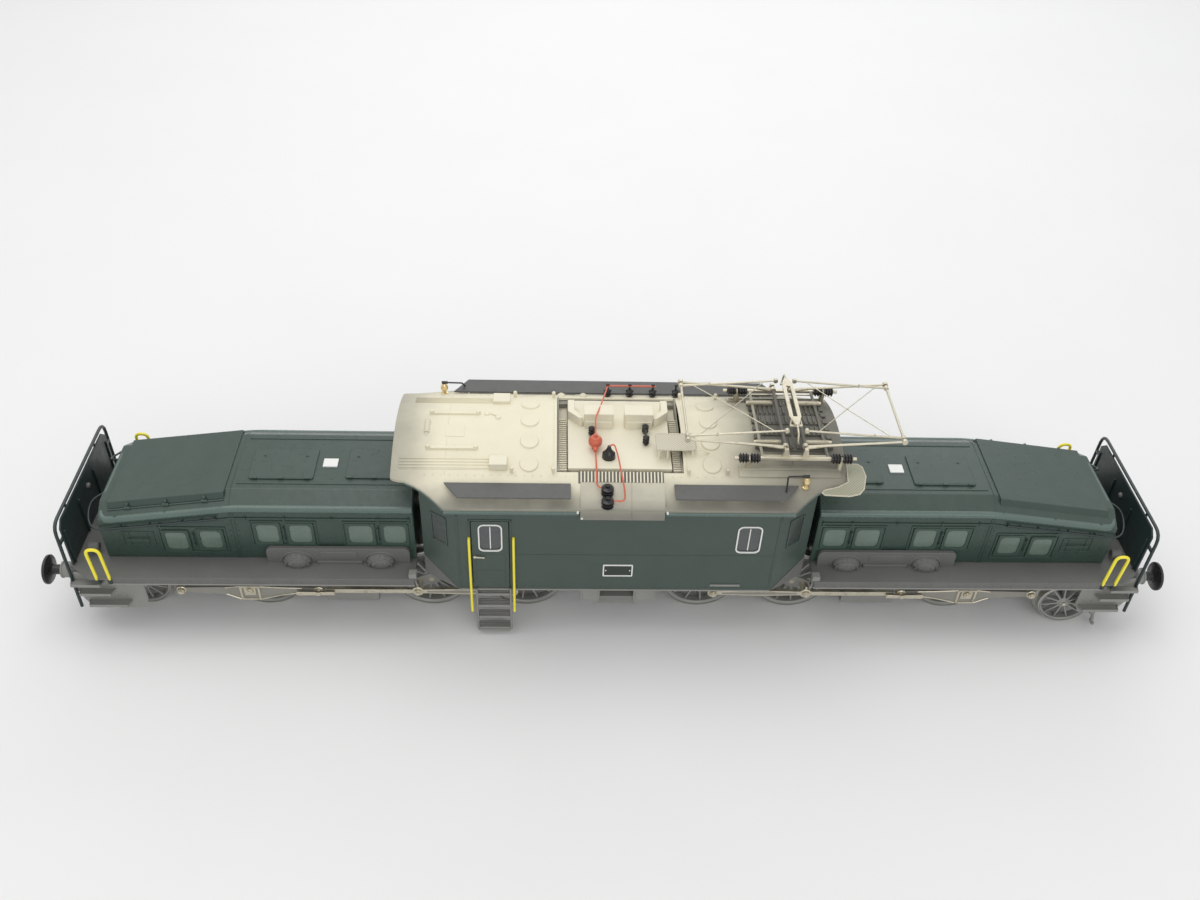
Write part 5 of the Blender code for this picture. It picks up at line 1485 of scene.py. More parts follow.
def underfloor_boxes():
    """The boxes that hang below the sill between the bogies."""
    for side_name, side in SIDES.items():
        bm = new_shape()
        for span in ((-18.5, -8.0), (10.0, 21.5)):
            x = side_x(side, span)
            add_box(bm, x, (side * 35.5, side * 43.6), (24.0, 35.6))
            add_box(bm, (x[0] + 1.2, x[1] - 1.2), (side * 43.2, side * 44.0), (25.4, 34.2))
            add_box(bm, (x[0] + 1.8, x[1] - 1.8), (side * 37.0, side * 42.0), (22.9, 24.4))
        low = side_x(side, (-10.0, 12.0))
        add_box(bm, low, (side * 36.5, side * 42.6), (20.6, 26.6))
        for index in range(5):
            z = 21.6 + index
            add_box(bm, (low[0] + 1.0, low[1] - 1.0), (side * 42.3, side * 42.9), (z, z + 0.45))
        add_box(bm, side_x(side, (-17.0, 20.0)), (side * 36.0, side * 41.0), (35.0, 38.0))
        centre_piece(f"underfloor_boxes_{side_name}", bm, "frame_grey", [f"equipment_box_{side_name}"],
                     bevel=0.25)


def cab():
    cab_walls()
    cab_side_trim()
    corner_panels()
    doors()
    builders_plate()
    cab_ladders()
    underfloor_boxes()


# ---------------------------------------------------------------- roof


def roof_side(x):
    """The roof's half width, which draws in to its ends through a hollow curve."""
    share = max(0.0, min(1.0, (ROOF_CURVE_END - abs(x)) / (ROOF_CURVE_END - ROOF_SHOULDER)))
    return ROOF_END_SIDE + (ROOF_SIDE - ROOF_END_SIDE) * share ** 1.45


def roof_skin():
    """The arched skin with its fascia, opened by the equipment well."""
    bm = new_shape()
    well_share = WELL_Y / ROOF_SIDE
    steps = [0.0, 0.125, 0.25, 0.375, 0.5, well_share, 0.74, 0.84, 0.92, 1.0]
    shares = [-share for share in reversed(steps[1:])] + steps
    loops = []
    ends = (*ROOF_CURVE_X, 111.0, 113.6, ROOF_END)
    stations = [-x for x in reversed(ends)] + [-WELL_X, WELL_X] + list(ends)
    for x in stations:
        half = roof_side(x) - 1.4 * max(0.0, (abs(x) - 111.0) / (ROOF_END - 111.0)) ** 2
        edge = roof_height(half) - ROOF_FASCIA
        section = [(-half, edge), *[(share * half, roof_height(share * half)) for share in shares],
                   (half, edge)]
        loops.append([bm.verts.new(Vector((x, y, z)) * MM) for y, z in section])
    middle = stations.index(-WELL_X)
    first_open = shares.index(-well_share) + 1
    last_open = shares.index(well_share) + 1
    for number, (first, second) in enumerate(zip(loops, loops[1:])):
        for index in range(len(first) - 1):
            if number == middle and first_open <= index < last_open:
                continue
            bm.faces.new((first[index], second[index], second[index + 1], first[index + 1]))
    skin = centre_piece("roof_skin", bm, "roof_cream", ["cab_roof"], smooth=30.0)
    wall = skin.modifiers.new("wall", "SOLIDIFY")
    wall.thickness = 1.5 * MM
    wall.offset = -1.0
    edge = skin.modifiers.new("edge", "BEVEL")
    edge.width = 0.45 * MM
    edge.segments = 3
    edge.angle_limit = math.radians(30.0)
    edge.harden_normals = True


def add_on_roof(bm, start, end, y, low, high, steps=4):
    """A plate that follows the arch: start and end are its x at the two y values."""
    loops = []
    for step in range(steps + 1):
        share = step / steps
        across = y[0] + (y[1] - y[0]) * share
        x0 = start[0] + (start[1] - start[0]) * share
        x1 = end[0] + (end[1] - end[0]) * share
        z = roof_height(across)
        loops.append([(x0, across, z + low), (x1, across, z + low), (x1, across, z + high),
                      (x0, across, z + high)])
    add_loft(bm, loops)


def side_walkways():
    """The dark boards that stand on brackets along both sides of the roof."""
    boards, brackets = new_shape(), new_shape()
    inner, outer = BOARD_Y
    near = ([(-88.2, -inner), (-80.8, -outer), (-25.0, -outer), (-25.0, -inner)],
            [(26.8, -inner), (26.8, -outer), (81.8, -outer), (89.8, -inner)])
    far = ([(-88.2, inner), (-80.8, outer), (81.8, outer), (89.8, inner)],)
    for outline in (*near, *far):
        add_plate(boards, outline, "Z", (BOARD_HEIGHT - 0.9, BOARD_HEIGHT))
    for side in SIDES.values():
        for x in BOARD_BRACKET_X:
            low = (x, side * 41.0, roof_height(41.0) - 0.4)
            high = (x, side * (outer - 1.5), BOARD_HEIGHT - 0.7)
            add_bar(brackets, low, high, 0.5, 8)
            add_box(brackets, about(x, 0.4), (side * inner, side * (outer - 0.8)),
                    (BOARD_HEIGHT - 1.6, BOARD_HEIGHT - 0.7))
    centre_piece("side_walkways", boards, "walkway_grey", bevel=0.2)
    centre_piece("walkway_brackets", brackets, "tray_cream")


def roof_covers():
    """Round covers, long ribbed rails with blocks, short bars, a faint hatch and rivets."""
    bm, blocks, rivets = new_shape(), new_shape(), new_shape()
    for x in COVER_X:
        for y in COVER_Y:
            lean = Vector((0.0, 2 * ROOF_FALL * y / ROOF_SIDE ** 2, 1.0))
            profile = [(0.0, 0.55), (3.0, 0.6), (3.9, 0.75), (4.5, 0.7), (4.8, 0.3), (4.8, -0.8),
                       (0.0, -0.8)]
            add_turned(bm, profile, (x, y, roof_height(y)), lean, 40)
    for y, start, end in ((-26.2, -111.0, -63.5), (22.8, -107.0, -63.5)):
        for offset in (-2.4, -0.8, 0.8, 2.4):
            add_on_roof(bm, (start, start), (end, end), (y + offset - 0.35, y + offset + 0.35), -0.3, 0.75,
                        1)
        add_on_roof(bm, (start, start), (end, end), about(y, 3.2), -0.3, 0.3)
        z = roof_height(y)
        add_box(blocks, (-66.0, -57.0), about(y, 3.6), (z - 1.0, z + 2.8))
    for y, start, end in ((8.0, -97.0, -73.0), (-17.6, -97.2, -73.2)):
        z = roof_height(y)
        add_box(bm, (start, end), about(y, 1.1), (z - 0.3, z + 1.0))
        for x in (start, end):
            add_bar(bm, (x, y, z - 0.5), (x, y, z + 1.9), 1.3, 16, tip=1.1)
    add_on_roof(bm, (-88.9, -88.9), (-79.4, -79.4), (-10.2, -2.0), -0.2, 0.22)
    add_bar(bm, (-98.6, -7.6, 110.9), (-98.6, 0.8, 111.9), 1.6, 16)
    add_bar(bm, (-98.6, -9.4, 110.5), (-98.6, -7.6, 111.1), 1.0, 12)
    add_bar(bm, (-98.6, 0.6, 111.9), (-98.6, 2.0, 112.0), 1.1, 12)
    for x, y in ((-68.5, 7.7), (-62.6, 4.6)):
        add_turned(bm, [(0.0, 0.9), (1.2, 0.7), (1.6, 0.0), (1.6, -0.5), (0.0, -0.5)],
                   (x, y, roof_height(y)), UP, 20)
    add_bar(bm, (-66.5, 8.0, 111.6), (-62.6, 5.4, 111.9), 0.4, 8)
    for side in SIDES.values():
        y = side * 32.0
        z = roof_height(y)
        for index in range(48):
            x = -98.0 + 4.15 * index
            if abs(x) > 23.0:
                add_bar(rivets, (x, y, z - 0.3), (x, y, z + 0.3), 0.3, 6)
        for x in PEG_X:
            top = (x, side * PEG_Y, roof_height(PEG_Y) + 2.6)
            add_bar(bm, (x, side * PEG_Y, roof_height(PEG_Y) - 0.6), top, 0.75, 12)
            add_turned(bm, [(0.0, 1.3), (0.9, 0.8), (1.1, 0.0), (0.9, -0.8), (0.0, -1.0)], top, UP,
                       14)
    for x in (-29.8, -17.9):
        add_turned(bm, [(0.0, 1.6), (1.4, 1.3), (2.1, 0.5), (2.2, 0.0), (2.2, -1.6), (0.0, -1.6)],
                   (x, 33.0, roof_height(33.0)), UP, 28)
    for x in (-WELL_X - 1.6, WELL_X + 1.6, -ROOF_SHOULDER, ROOF_SHOULDER):
        seam = [(x, y, roof_height(y) + 0.02) for y in range(-32, 33, 4)]
        add_tube(bm, seam, 0.22, 6)
    centre_piece("roof_fittings", bm, "roof_cream", bevel=0.15)
    centre_piece("roof_blocks", blocks, "tray_cream", bevel=0.3)
    centre_piece("roof_rivets", rivets, "roof_cream")


def louvre_panel():
    """The raised slatted resistance covers under the pantograph."""
    bm = new_shape()
    add_on_roof(bm, (71.5, 71.5), (107.5, 107.5), (-17.6, 26.0), -0.4, 0.9, 8)
    for row in range(5):
        y = -13.8 + 8.6 * row
        z = roof_height(y)
        for start in LOUVRE_STARTS:
            add_box(bm, (start, start + 15.4), about(y, 3.2), (z + 0.4, z + 1.7))
            for slat in range(6):
                x = start + 1.5 + 2.5 * slat
                add_box(bm, about(x, 0.5), about(y, 2.8), (z + 1.5, z + 2.5))
    for x in (70.8, 108.2):
        for y in range(-15, 28, 6):
            add_box(bm, about(x, 1.3), about(y, 1.6),
                    (roof_height(y) - 0.2, roof_height(y) + 1.6))
    centre_piece("louvre_panel", bm, "louvre_grey", bevel=0.2)


def roof_tray():
    """The pale tray in the well: its raised platform, cheeks, choke boxes and grilles, dark shadow gaps,
    and grey lining sheets whose colour is painted shade.
    """
    bm, slats, dark, shade_sheet = new_shape(), new_shape(), new_shape(), new_shape()
    add_box(bm, (-31.6, 31.6), (-29.6, 29.6), (99.0, 100.6))
    add_box(bm, (-26.4, 26.4), (-27.4, 27.4), (100.4, PLATFORM_TOP))
    for side in (-1, 1):
        cheek = [(side * 26.4, 21.0), (side * 22.8, 21.0), (side * 22.8, 12.6), (side * 18.4, 7.8),
                 (side * 18.4, 5.8), (side * 20.4, 5.8), (side * 26.4, 11.6)]
        add_plate(bm, cheek, "Z", (PLATFORM_TOP - 0.5, PLATFORM_TOP + 5.6))
        for index in range(24):
            y = -27.6 + 1.72 * index
            add_box(slats, (side * 27.0, side * 31.2), about(y, 0.28), (101.4, 105.0))
    for start, end in CHOKE_X:
        add_box(bm, (start, end), (4.8, 12.6), (PLATFORM_TOP - 0.3, 114.2))
        add_box(bm, (start - 0.3, end + 0.3), (4.6, 12.8), (113.4, 114.6))
        add_box(bm, (start + 0.4, end - 0.4), (3.6, 5.0), (PLATFORM_TOP - 0.3, 110.2))
    for index in range(24):
        x = -19.8 + 1.76 * index
        add_on_roof(slats, (x - 0.36, x - 0.36), (x + 0.36, x + 0.36), (-35.4, -30.4), -0.2, 1.1, 2)
    add_on_roof(dark, (-21.2, -21.2), (21.8, 21.8), (-35.6, -30.0), -0.3, 0.3, 2)
    add_box(dark, (-26.0, 26.0), (27.3, 29.4), (100.4, PLATFORM_TOP - 1.0))
    for side in (-1, 1):
        add_box(dark, (side * 27.0, side * 31.4), (-28.8, 12.8), (100.4, 101.2))
        add_box(dark, (side * 26.2, side * 26.6), (-29.0, 27.0), (100.4, PLATFORM_TOP - 1.2))
        # Grey sheets on the well's end walls and near corners, coloured as painted shade.
        add_box(shade_sheet, (side * 31.0, side * 31.9), (-29.8, 29.8), (100.8, 105.8))
        add_box(shade_sheet, (side * 26.2, side * 31.4), (26.6, 29.8), (100.8, 103.6))
    centre_piece("well_tray", bm, "tray_cream", ["roof_tray"], bevel=0.35)
    centre_piece("well_slats", slats, "tray_cream", bevel=0.1)
    centre_piece("well_shade_lining", shade_sheet, "well_shade_grey", bevel=0.1)
    centre_piece("well_shadow_gaps", dark, "louvre_grey", bevel=0.1)


def drop_panel():
    """The plain panel in the middle of the near and far eaves, with its seam."""
    bm, pins = new_shape(), new_shape()
    for side in SIDES.values():
        x = side_x(side, (-20.2, 22.2))
        path = [(side * y, roof_height(y) + PANEL_LIFT) for y in (35.2, 37.5, 39.5, PANEL_BEND)]
        level = roof_height(PANEL_BEND) + PANEL_LIFT - PANEL_DROP
        for index in range(1, 9):
            turn = math.pi / 2 * index / 8
            path.append((side * (PANEL_BEND + (PANEL_SIDE - PANEL_BEND) * math.sin(turn)),
                         level + PANEL_DROP * math.cos(turn)))
        path.append((side * PANEL_SIDE, 89.4))
        inner = [(y - side * 1.1, z - 0.7) for y, z in reversed(path)]
        add_plate(bm, path + inner, "X", x)
        seam = [(5.5, y, z + 0.1) for y, z in path]
        add_tube(bm, seam, 0.25, 6)
        for u in (x[0] - 1.2, x[1] + 1.2):
            add_bar(pins, (u, side * 46.4, 94.4), (u, side * 48.4, 94.4), 0.6, 10)
        add_box(pins, (x[0] + 0.4, x[0] + 1.4), (side * 47.6, side * 48.6), (90.2, 91.0))
    centre_piece("drop_panels", bm, "panel_cream", bevel=0.15)
    centre_piece("drop_panel_pins", pins, "white")


def add_sheds(bm, origin, axis, height, ribs, wide, narrow, sides=24):
    """A ribbed insulator body with rounded sheds."""
    profile = [(0.0, height), (narrow * 0.8, height)]
    pitch = height / (ribs + 0.4)
    for rib in range(ribs):
        top = height - (rib + 0.3) * pitch
        profile += [(narrow, top + 0.1 * pitch), (wide * 0.96, top - 0.12 * pitch),
                    (wide, top - 0.28 * pitch),
                    (wide * 0.92, top - 0.42 * pitch), (narrow, top - 0.5 * pitch)]
    add_turned(bm, [*profile, (narrow, 0.0), (0.0, 0.0)], origin, axis, sides)


def high_tension_gear():
    """Insulators, the red lead wires, the busbar, the red bushing and the black cone."""
    black, red = new_shape(), new_shape()
    cone, bushing = (-5.6, -18.6), (-12.4, -11.8)
    for y in LEAD_IN_Y:
        add_sheds(black, (LEAD_IN_X, y, roof_height(y) - 1.2), UP, 6.0, 3, 3.2, 1.9, 32)
        add_bar(black, (LEAD_IN_X, y, roof_height(y) + 4.6), (LEAD_IN_X, y, roof_height(y) + 5.8), 1.1, 16)
    add_turned(black, [(0.0, 7.6), (0.8, 7.4), (1.3, 5.4), (2.5, 3.0), (3.3, 2.4), (3.5, 0.6), (3.5, 0.0),
                       (0.0, 0.0)],
               (*cone, PLATFORM_TOP), UP, 32)
    bulb = [(0.0, 9.4), (0.9, 9.4), (1.1, 7.8), (2.3, 7.4), (2.5, 6.8), (3.4, 6.0), (3.6, 5.0), (3.3, 4.3),
            (3.5, 3.6), (3.0, 2.6), (1.8, 2.0), (1.5, 1.2), (1.7, 0.0), (0.0, 0.0)]
    add_turned(red, bulb, (*bushing, PLATFORM_TOP), UP, 32)
    add_bar(red, (*bushing, 109.6), (bushing[0], bushing[1] - 5.2, 108.0), 1.6, 16, tip=1.1)
    for x, y in ((-14.0, -1.5), (14.0, 0.6), (13.9, -8.4)):
        add_sheds(black, (x, y, PLATFORM_TOP), UP, 5.6, 3, 1.8, 1.1, 20)
    add_bar(black, (13.9, 2.0, 109.6), (13.9, -9.6, 109.6), 0.6, 10)
    for x in BUS_X:
        add_sheds(black, (x, BUS_Y, roof_height(BUS_Y) - 0.3), UP, 5.4, 2, 2.2, 1.3, 20)
        add_bar(black, (x, BUS_Y, 107.6), (x, BUS_Y, BUS_HEIGHT + 0.7), 0.5, 8)
        add_bar(black, (x - 0.9, BUS_Y, BUS_HEIGHT + 0.9), (x + 0.9, BUS_Y, BUS_HEIGHT + 0.9), 0.6, 8)
    add_bar(red, (BUS_X[0] - 1.0, BUS_Y, BUS_HEIGHT), (BUS_X[-1] - 11.0, BUS_Y, BUS_HEIGHT), 0.5, 10)
    first, second = [(LEAD_IN_X, y, roof_height(y) + 3.6) for y in LEAD_IN_Y]
    wires = (
        [(BUS_X[0], BUS_Y, BUS_HEIGHT), (-8.4, 16.0, 113.6), (-12.2, 0.0, 116.0), (*bushing, 114.6)],
        [(-12.4, -16.6, 108.0), (-12.2, -26.0, 108.0), (-12.0, first[1] + 1.5, first[2]),
         (LEAD_IN_X - 2.0, first[1], first[2])],
        [(-5.6, -18.6, 112.8), (-3.0, -17.4, 113.6), (-1.2, -24.0, 111.0), (1.8, second[1] + 4.0, 104.0),
         (2.0, second[1] - 0.4, second[2]), (LEAD_IN_X + 2.0, second[1], second[2])],
    )
    for points in wires:
        add_tube(red, points, 0.42, 8, bend=2.6)
    for centre in (first, second):
        add_turned(red, [(0.0, 0.4), (2.3, 0.35), (2.6, 0.0), (2.3, -0.35), (0.0, -0.4)], centre, UP,
                   24)
    centre_piece("black_insulators", black, "insulator_black", ["lead_in_insulator"])
    centre_piece("red_leads", red, "red")


def add_walkway(name, outline, height, finish, replaces=()):
    """A thin mesh board with a wire rim."""
    board, rim = new_shape(), new_shape()
    add_plate(board, outline, "Z", (height - 0.6, height))
    add_tube(rim, [(x, y, height - 0.2) for x, y in outline], 0.4, 6, closed=True)
    centre_piece(name, board, finish, replaces)
    centre_piece(f"{name}_rim", rim, "pale_mesh")


def walkways():
    """The mesh board over the well's edge and the one that wraps round the roof's near corner."""
    add_walkway("well_walkway", rounded_rect((18.6, 38.4), (-20.6, -8.0), 1.2), 112.6, "pale_mesh")
    corner = [(116.0, -23.0), (121.5, -23.0), (123.6, -25.0), (124.2, -32.0), (121.4, -41.6),
              (118.4, -45.4),
              (113.2, -47.0), (100.6, -46.2), (99.8, -44.6), (101.2, -42.8), (108.6, -40.4), (114.4, -36.6)]
    add_walkway("corner_walkway", corner, 106.4, "olive_mesh", ["roof_step_board"])
    legs = new_shape()
    for x, y in ((20.0, -18.8), (20.0, -10.0), (24.4, -18.8)):
        add_bar(legs, (x, y, PLATFORM_TOP - 0.2), (x, y, 112.2), 0.7, 10)
    for x, y in ((37.0, -19.4), (37.0, -9.2)):
        add_bar(legs, (x, y, roof_height(y) - 0.4), (x, y, 112.2), 0.7, 10)
    add_tube(legs, [(37.0, -19.6, 112.2), (42.0, -19.6, 112.0), (45.6, -19.0, roof_height(19.0))], 0.45, 8,
             bend=2.0)
    centre_piece("walkway_legs", legs, "tray_cream")


def whistles():
    """Brass whistles with their black pull brackets on opposite corners of the roof."""
    brass, bracket = new_shape(), new_shape()
    for turn in (1, -1):
        x, y = turn * 93.2, -turn * 36.4
        z = roof_height(y)
        profile = [(0.0, 7.0), (1.0, 6.8), (1.4, 6.0), (1.9, 5.0), (2.1, 3.8), (1.7, 2.6), (1.0, 2.0),
                   (1.0, 0.9),
                   (1.8, 0.5), (1.8, -0.4), (0.0, -0.4)]
        add_turned(brass, profile, (x, y, z), UP, 24)
        corner = x - turn * 9.6
        add_tube(bracket, [(x, y, z + 7.4), (corner, y, z + 7.2), (corner - turn, y - turn * 5.4, z + 1.4)],
                 0.45, 8,
                 bend=0.8)
        add_bar(bracket, (x - turn * 2.0, y, z + 7.4), (x + turn * 1.2, y, z + 7.4), 0.8, 10)
    centre_piece("whistles", brass, "whistle_brass")
    centre_piece("whistle_brackets", bracket, "insulator_black")


def roof():
    roof_skin()
    side_walkways()
    roof_covers()
    louvre_panel()
    roof_tray()
    drop_panel()
    high_tension_gear()
    walkways()
    whistles()


# ---------------------------------------------------------------- pantograph


def pantograph_base():
    """Two base beams on ribbed insulators with pivot posts, springs and cross tubes."""
    bm, black, springs, feet = new_shape(), new_shape(), new_shape(), new_shape()
    for side in SIDES.values():
        y = side * BASE_Y
        add_box(bm, about(PANTO_X, 18.0), about(y, 0.8), (112.9, 114.5))
        add_bar(bm, (PANTO_X - 17.0, y - side * 2.6, 113.2), (PANTO_X + 17.0, y - side * 2.6, 113.2), 0.5,
                8)
        add_on_roof(feet, (PANTO_X - 28.0,) * 2, (PANTO_X + 24.0,) * 2, (y - side * 1.0, y + side * 4.6),
                    -0.3, 1.0, 2)
        add_on_roof(feet, (PANTO_X - 27.0,) * 2, (PANTO_X + 23.0,) * 2, (y + side * 0.6, y + side * 1.6),
                    0.8, 1.8, 2)
        for end in (-1, 1):
            for reach in (20.4, 26.2):
                x = PANTO_X + end * reach
                add_sheds(black, (x - end * 2.4, y, BASE_HEIGHT), (end, 0, 0), 5.0, 3, 2.7, 1.9, 28)
            x = PANTO_X + end * 23.2
            add_bar(bm, (x, y, 104.6), (x, y, 113.8), 1.5, 16)
            add_bar(bm, (PANTO_X + end * 17.0, y, BASE_HEIGHT), (PANTO_X + end * 31.0, y, BASE_HEIGHT), 0.9,
                    12)
            pin_x = PANTO_X + end * PANTO_OFFSET
            post = [(pin_x - 2.0, 113.6), (pin_x + 2.0, 113.6), (pin_x + 1.0, 119.2), (pin_x - 1.0, 119.2)]
            add_plate(bm, post, "Y", (side * 25.8, side * 27.4))
            spring_y = side * 16.0
            add_bar(springs, (pin_x + end * 1.0, spring_y, SPRING_HEIGHT),
                    (pin_x + end * 15.0, spring_y, SPRING_HEIGHT), 1.0, 12)
            coil, steps = [], COIL_TURNS * COIL_SIDES
            for index in range(steps + 1):
                angle = math.tau * index / COIL_SIDES
                coil.append((pin_x + end * (1.5 + 12.5 * index / steps),
                             spring_y + COIL_RADIUS * math.cos(angle),
                             SPRING_HEIGHT + COIL_RADIUS * math.sin(angle)))
            add_tube(springs, coil, 0.22, 5)
    for end in (-1, 1):
        x = PANTO_X + end * 16.6
        add_bar(feet, (x, -BASE_Y, BASE_HEIGHT), (x, BASE_Y, BASE_HEIGHT), 0.8, 12)
    centre_piece("pantograph_beams", bm, "panto_nickel", ["pantograph_base"], bevel=0.15)
    centre_piece("pantograph_feet", feet, "roof_cream", bevel=0.15)
    centre_piece("pantograph_insulators", black, "insulator_black")
    centre_piece("pantograph_springs", springs, "panto_nickel")


def panto_points(end):
    """The pivot, knee and head of one arm at rest, as (x, z)."""
    run, rise = PANTO_ARM * math.cos(PANTO_ANGLE), PANTO_ARM * math.sin(PANTO_ANGLE)
    pivot = (PANTO_X + end * PANTO_OFFSET, PANTO_PIVOT_Z)
    knee = (pivot[0] + end * run, pivot[1] + rise)
    return pivot, knee, (pivot[0], pivot[1] + 2 * rise)


def joint_boss(bm, x, y, z, half, radius):
    add_bar(bm, (x, y - half, z), (x, y + half, z), radius, 20)


def pantograph_arms():
    """Tapered lower arms on their shafts, and upper arms braced by crossed wires."""
    for name, end in ENDS.items():
        pivot, knee, head = panto_points(end)
        lower, upper = new_shape(), new_shape()
        shaft = new_shape()
        add_bar(shaft, (pivot[0], -LOWER_Y, pivot[1]), (pivot[0], LOWER_Y, pivot[1]), 0.9, 16)
        piece(f"lower_arm_shaft_{name}", shaft, "louvre_grey", f"lower_arm_{name}")
        add_bar(upper, (knee[0], -22.3, knee[1]), (knee[0], 22.3, knee[1]), 0.65, 14)
        for side in SIDES.values():
            y = side * LOWER_Y
            joint_boss(lower, pivot[0], y - side * 0.4, pivot[1], 1.0, 1.5)
            joint_boss(lower, knee[0], y, knee[1], 0.9, 1.45)
            add_bar(lower, (pivot[0], y, pivot[1]), (knee[0], y, knee[1]), 0.75, 14, tip=0.55)
            add_bar(lower, (pivot[0], y, pivot[1] - 0.6), (pivot[0] + end * 9.0, y, pivot[1] + 0.4), 1.1,
                    12,
                    tip=0.6)
            y = side * UPPER_Y
            joint_boss(upper, knee[0], y, knee[1], 1.1, 1.2)
            joint_boss(upper, head[0], y, head[1], 0.8, 1.2)
            add_bar(upper, (knee[0], y, knee[1]), (head[0], y, head[1]), 0.6, 12, tip=0.5)
            add_bar(upper, (knee[0] - end * 15.0, y, knee[1] + 0.3),
                    (knee[0] - end * 15.0, y, knee[1] + 2.4),
                    0.5, 8)
            start = (knee[0] - end * 6.0, side * UPPER_Y, knee[1] + 0.5)
            stop = (head[0] + end * 6.0, -side * UPPER_Y, head[1] - 0.5)
            middle = [(first + last) / 2 for first, last in zip(start, stop)]
            middle[2] += side * 0.35
            add_tube(upper, [start, tuple(middle), stop], 0.28, 6)
        piece(f"lower_arm_tubes_{name}", lower, "panto_nickel", f"lower_arm_{name}",
              [f"pantograph_lower_arm_{name}"], bevel=0.1)
        piece(f"upper_arm_tubes_{name}", upper, "panto_nickel", f"upper_arm_{name}",
              [f"pantograph_upper_arm_{name}"], bevel=0.1)


def collector():
    """The slotted contact pan with pointed ends, curved horns and its levelling links."""
    bm = new_shape()
    _, _, head = panto_points(-1)
    x, z = PANTO_X, head[1]
    outline = [(x - 3.0, -12.4), (x - 0.9, -18.8), (x + 0.9, -18.8), (x + 3.0, -12.4), (x + 3.0, 12.4),
               (x + 0.9, 18.8), (x - 0.9, 18.8), (x - 3.0, 12.4)]
    slot = [(x - 1.1, -12.6), (x + 1.1, -12.6), (x + 1.1, 12.6), (x - 1.1, 12.6)]
    add_plate(bm, outline, "Z", (z + 1.9, z + 2.9), holes=[slot])
    for side in SIDES.values():
        horn = [(x, side * 17.8, z + 2.4), (x, side * 21.6, z + 2.4), (x, side * 24.6, z + 1.2),
                (x, side * 25.8, z - 2.6), (x - side * 0.8, side * 24.6, z - 5.0)]
        add_tube(bm, horn, 0.5, 10, bend=1.8)
        add_box(bm, about(x, 0.8), (side * 16.2, side * 17.8), (z + 0.2, z + 2.2))
        add_bar(bm, (x - 3.2, side * 17.0, z + 0.5), (x + 3.2, side * 17.0, z + 0.5), 0.65, 12)
        for end in (-1, 1):
            add_bar(bm, (x + end * 3.0, side * 17.0, z + 0.5), (x + end * 2.2, side * 14.0, z + 2.2), 0.35,
                    8)
    piece("collector_pan", bm, "panto_nickel", "collector", ["collector_head"], bevel=0.15)


def pantograph():
    pantograph_base()
    pantograph_arms()
    collector()


# ---------------------------------------------------------------- carried-over nodes


def dress_cad_nodes():
    """Each CAD node still shown gets its slot's finish, clean edges and smooth round faces."""
    finish_of = {row["node"]: row["material_slot"] for row in frame["record"]["subparts"]}
    for name, node in frame["nodes"].items():
        node.data.materials.clear()
        node.data.materials.append(FINISHES[finish_of[name]])
        if node.hide_render:
            continue
        if "custom_normal" in node.data.attributes:
            node.data.attributes.remove(node.data.attributes["custom_normal"])
        weld = node.modifiers.new("weld", "WELD")
        weld.merge_threshold = 1e-6
        flats = node.modifiers.new("flats", "DECIMATE")
        flats.decimate_type = "DISSOLVE"
        flats.angle_limit = math.radians(1.0)
        edge = node.modifiers.new("edge", "BEVEL")
        edge.width = 0.2 * MM
        edge.segments = 2
        edge.angle_limit = math.radians(40.0)
        edge.harden_normals = True
        node.data.shade_smooth()


# ---------------------------------------------------------------- scene


CAMERA_PLACE = (-0.03551, -0.45439, 0.48848)
CAMERA_YAW = 0.058
CAMERA_PITCH = 0.714
CAMERA_ROLL = 0.049
CAMERA_LENS = 34.16
FLOOR_HALF = 3000.0


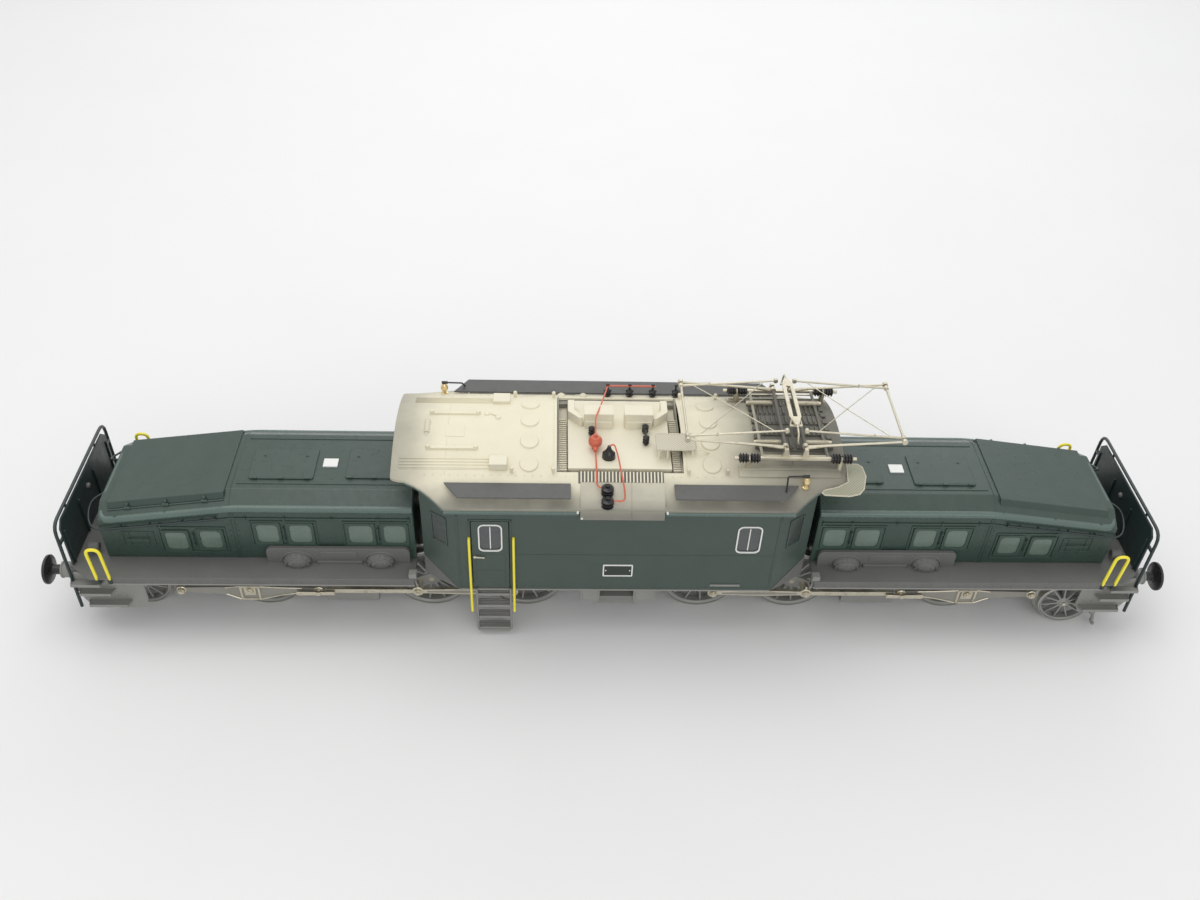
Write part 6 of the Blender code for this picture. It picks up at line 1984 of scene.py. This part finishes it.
def make_camera():
    """The camera above the near side, set by the angles of its view and its roll."""
    forward = Vector((math.sin(CAMERA_YAW) * math.cos(CAMERA_PITCH),
                      math.cos(CAMERA_YAW) * math.cos(CAMERA_PITCH), -math.sin(CAMERA_PITCH)))
    right = Vector((math.cos(CAMERA_YAW), -math.sin(CAMERA_YAW), 0.0))
    up = right.cross(forward)
    tilted_right = right * math.cos(CAMERA_ROLL) + up * math.sin(CAMERA_ROLL)
    tilted_up = up * math.cos(CAMERA_ROLL) - right * math.sin(CAMERA_ROLL)
    data = bpy.data.cameras.new("camera")
    data.lens = CAMERA_LENS
    data.sensor_width = 36.0
    data.clip_start = 0.01
    data.clip_end = 20.0
    camera = bpy.data.objects.new("camera", data)
    bpy.context.scene.collection.objects.link(camera)
    turn = Matrix((tilted_right, tilted_up, -forward)).transposed().to_4x4()
    camera.matrix_world = Matrix.Translation(CAMERA_PLACE) @ turn
    bpy.context.scene.camera = camera


LIGHTS = (
    ("overhead", (-0.25, 0.25, 1.5), (0.0, 0.0, 0.05), (1.6, 1.1), 9.0, (1.0, 0.99, 0.97)),
    ("front_fill", (0.3, -1.5, 0.9), (0.0, 0.0, 0.06), (1.4, 0.9), 5.5, (1.0, 1.0, 1.0)),
    ("back_rim", (0.2, 1.4, 0.8), (0.0, 0.0, 0.08), (1.6, 0.5), 4.5, (0.97, 0.99, 1.0)),
)


def add_light(name, place, target, size, power, colour):
    data = bpy.data.lights.new(name, "AREA")
    data.shape = "RECTANGLE"
    data.size, data.size_y = size
    data.energy = power
    data.color = colour
    light = bpy.data.objects.new(name, data)
    bpy.context.scene.collection.objects.link(light)
    light.location = place
    light.rotation_mode = "QUATERNION"
    light.rotation_quaternion = (Vector(target) - Vector(place)).to_track_quat("-Z", "Y")


def make_studio():
    """A pale floor under soft light from above, in front and behind."""
    bm = new_shape()
    add_box(bm, (-FLOOR_HALF, FLOOR_HALF), (-FLOOR_HALF, FLOOR_HALF), (-20.0, 0.0))
    mesh = bpy.data.meshes.new("floor")
    bm.to_mesh(mesh)
    bm.free()
    mesh.materials.append(floor_material())
    floor = bpy.data.objects.new("floor", mesh)
    bpy.context.scene.collection.objects.link(floor)
    for light in LIGHTS:
        add_light(*light)
    world = bpy.data.worlds.new("studio")
    world.use_nodes = True
    background = world.node_tree.nodes["Background"]
    background.inputs["Color"].default_value = (0.95, 0.96, 0.97, 1.0)
    background.inputs["Strength"].default_value = 0.7
    bpy.context.scene.world = world
    bpy.context.scene.view_settings.view_transform = "Standard"


def main():
    for end in ENDS:
        running_gear(end)
        bogie(end)
    cab()
    roof()
    pantograph()
    dress_cad_nodes()
    make_camera()
    make_studio()


main()
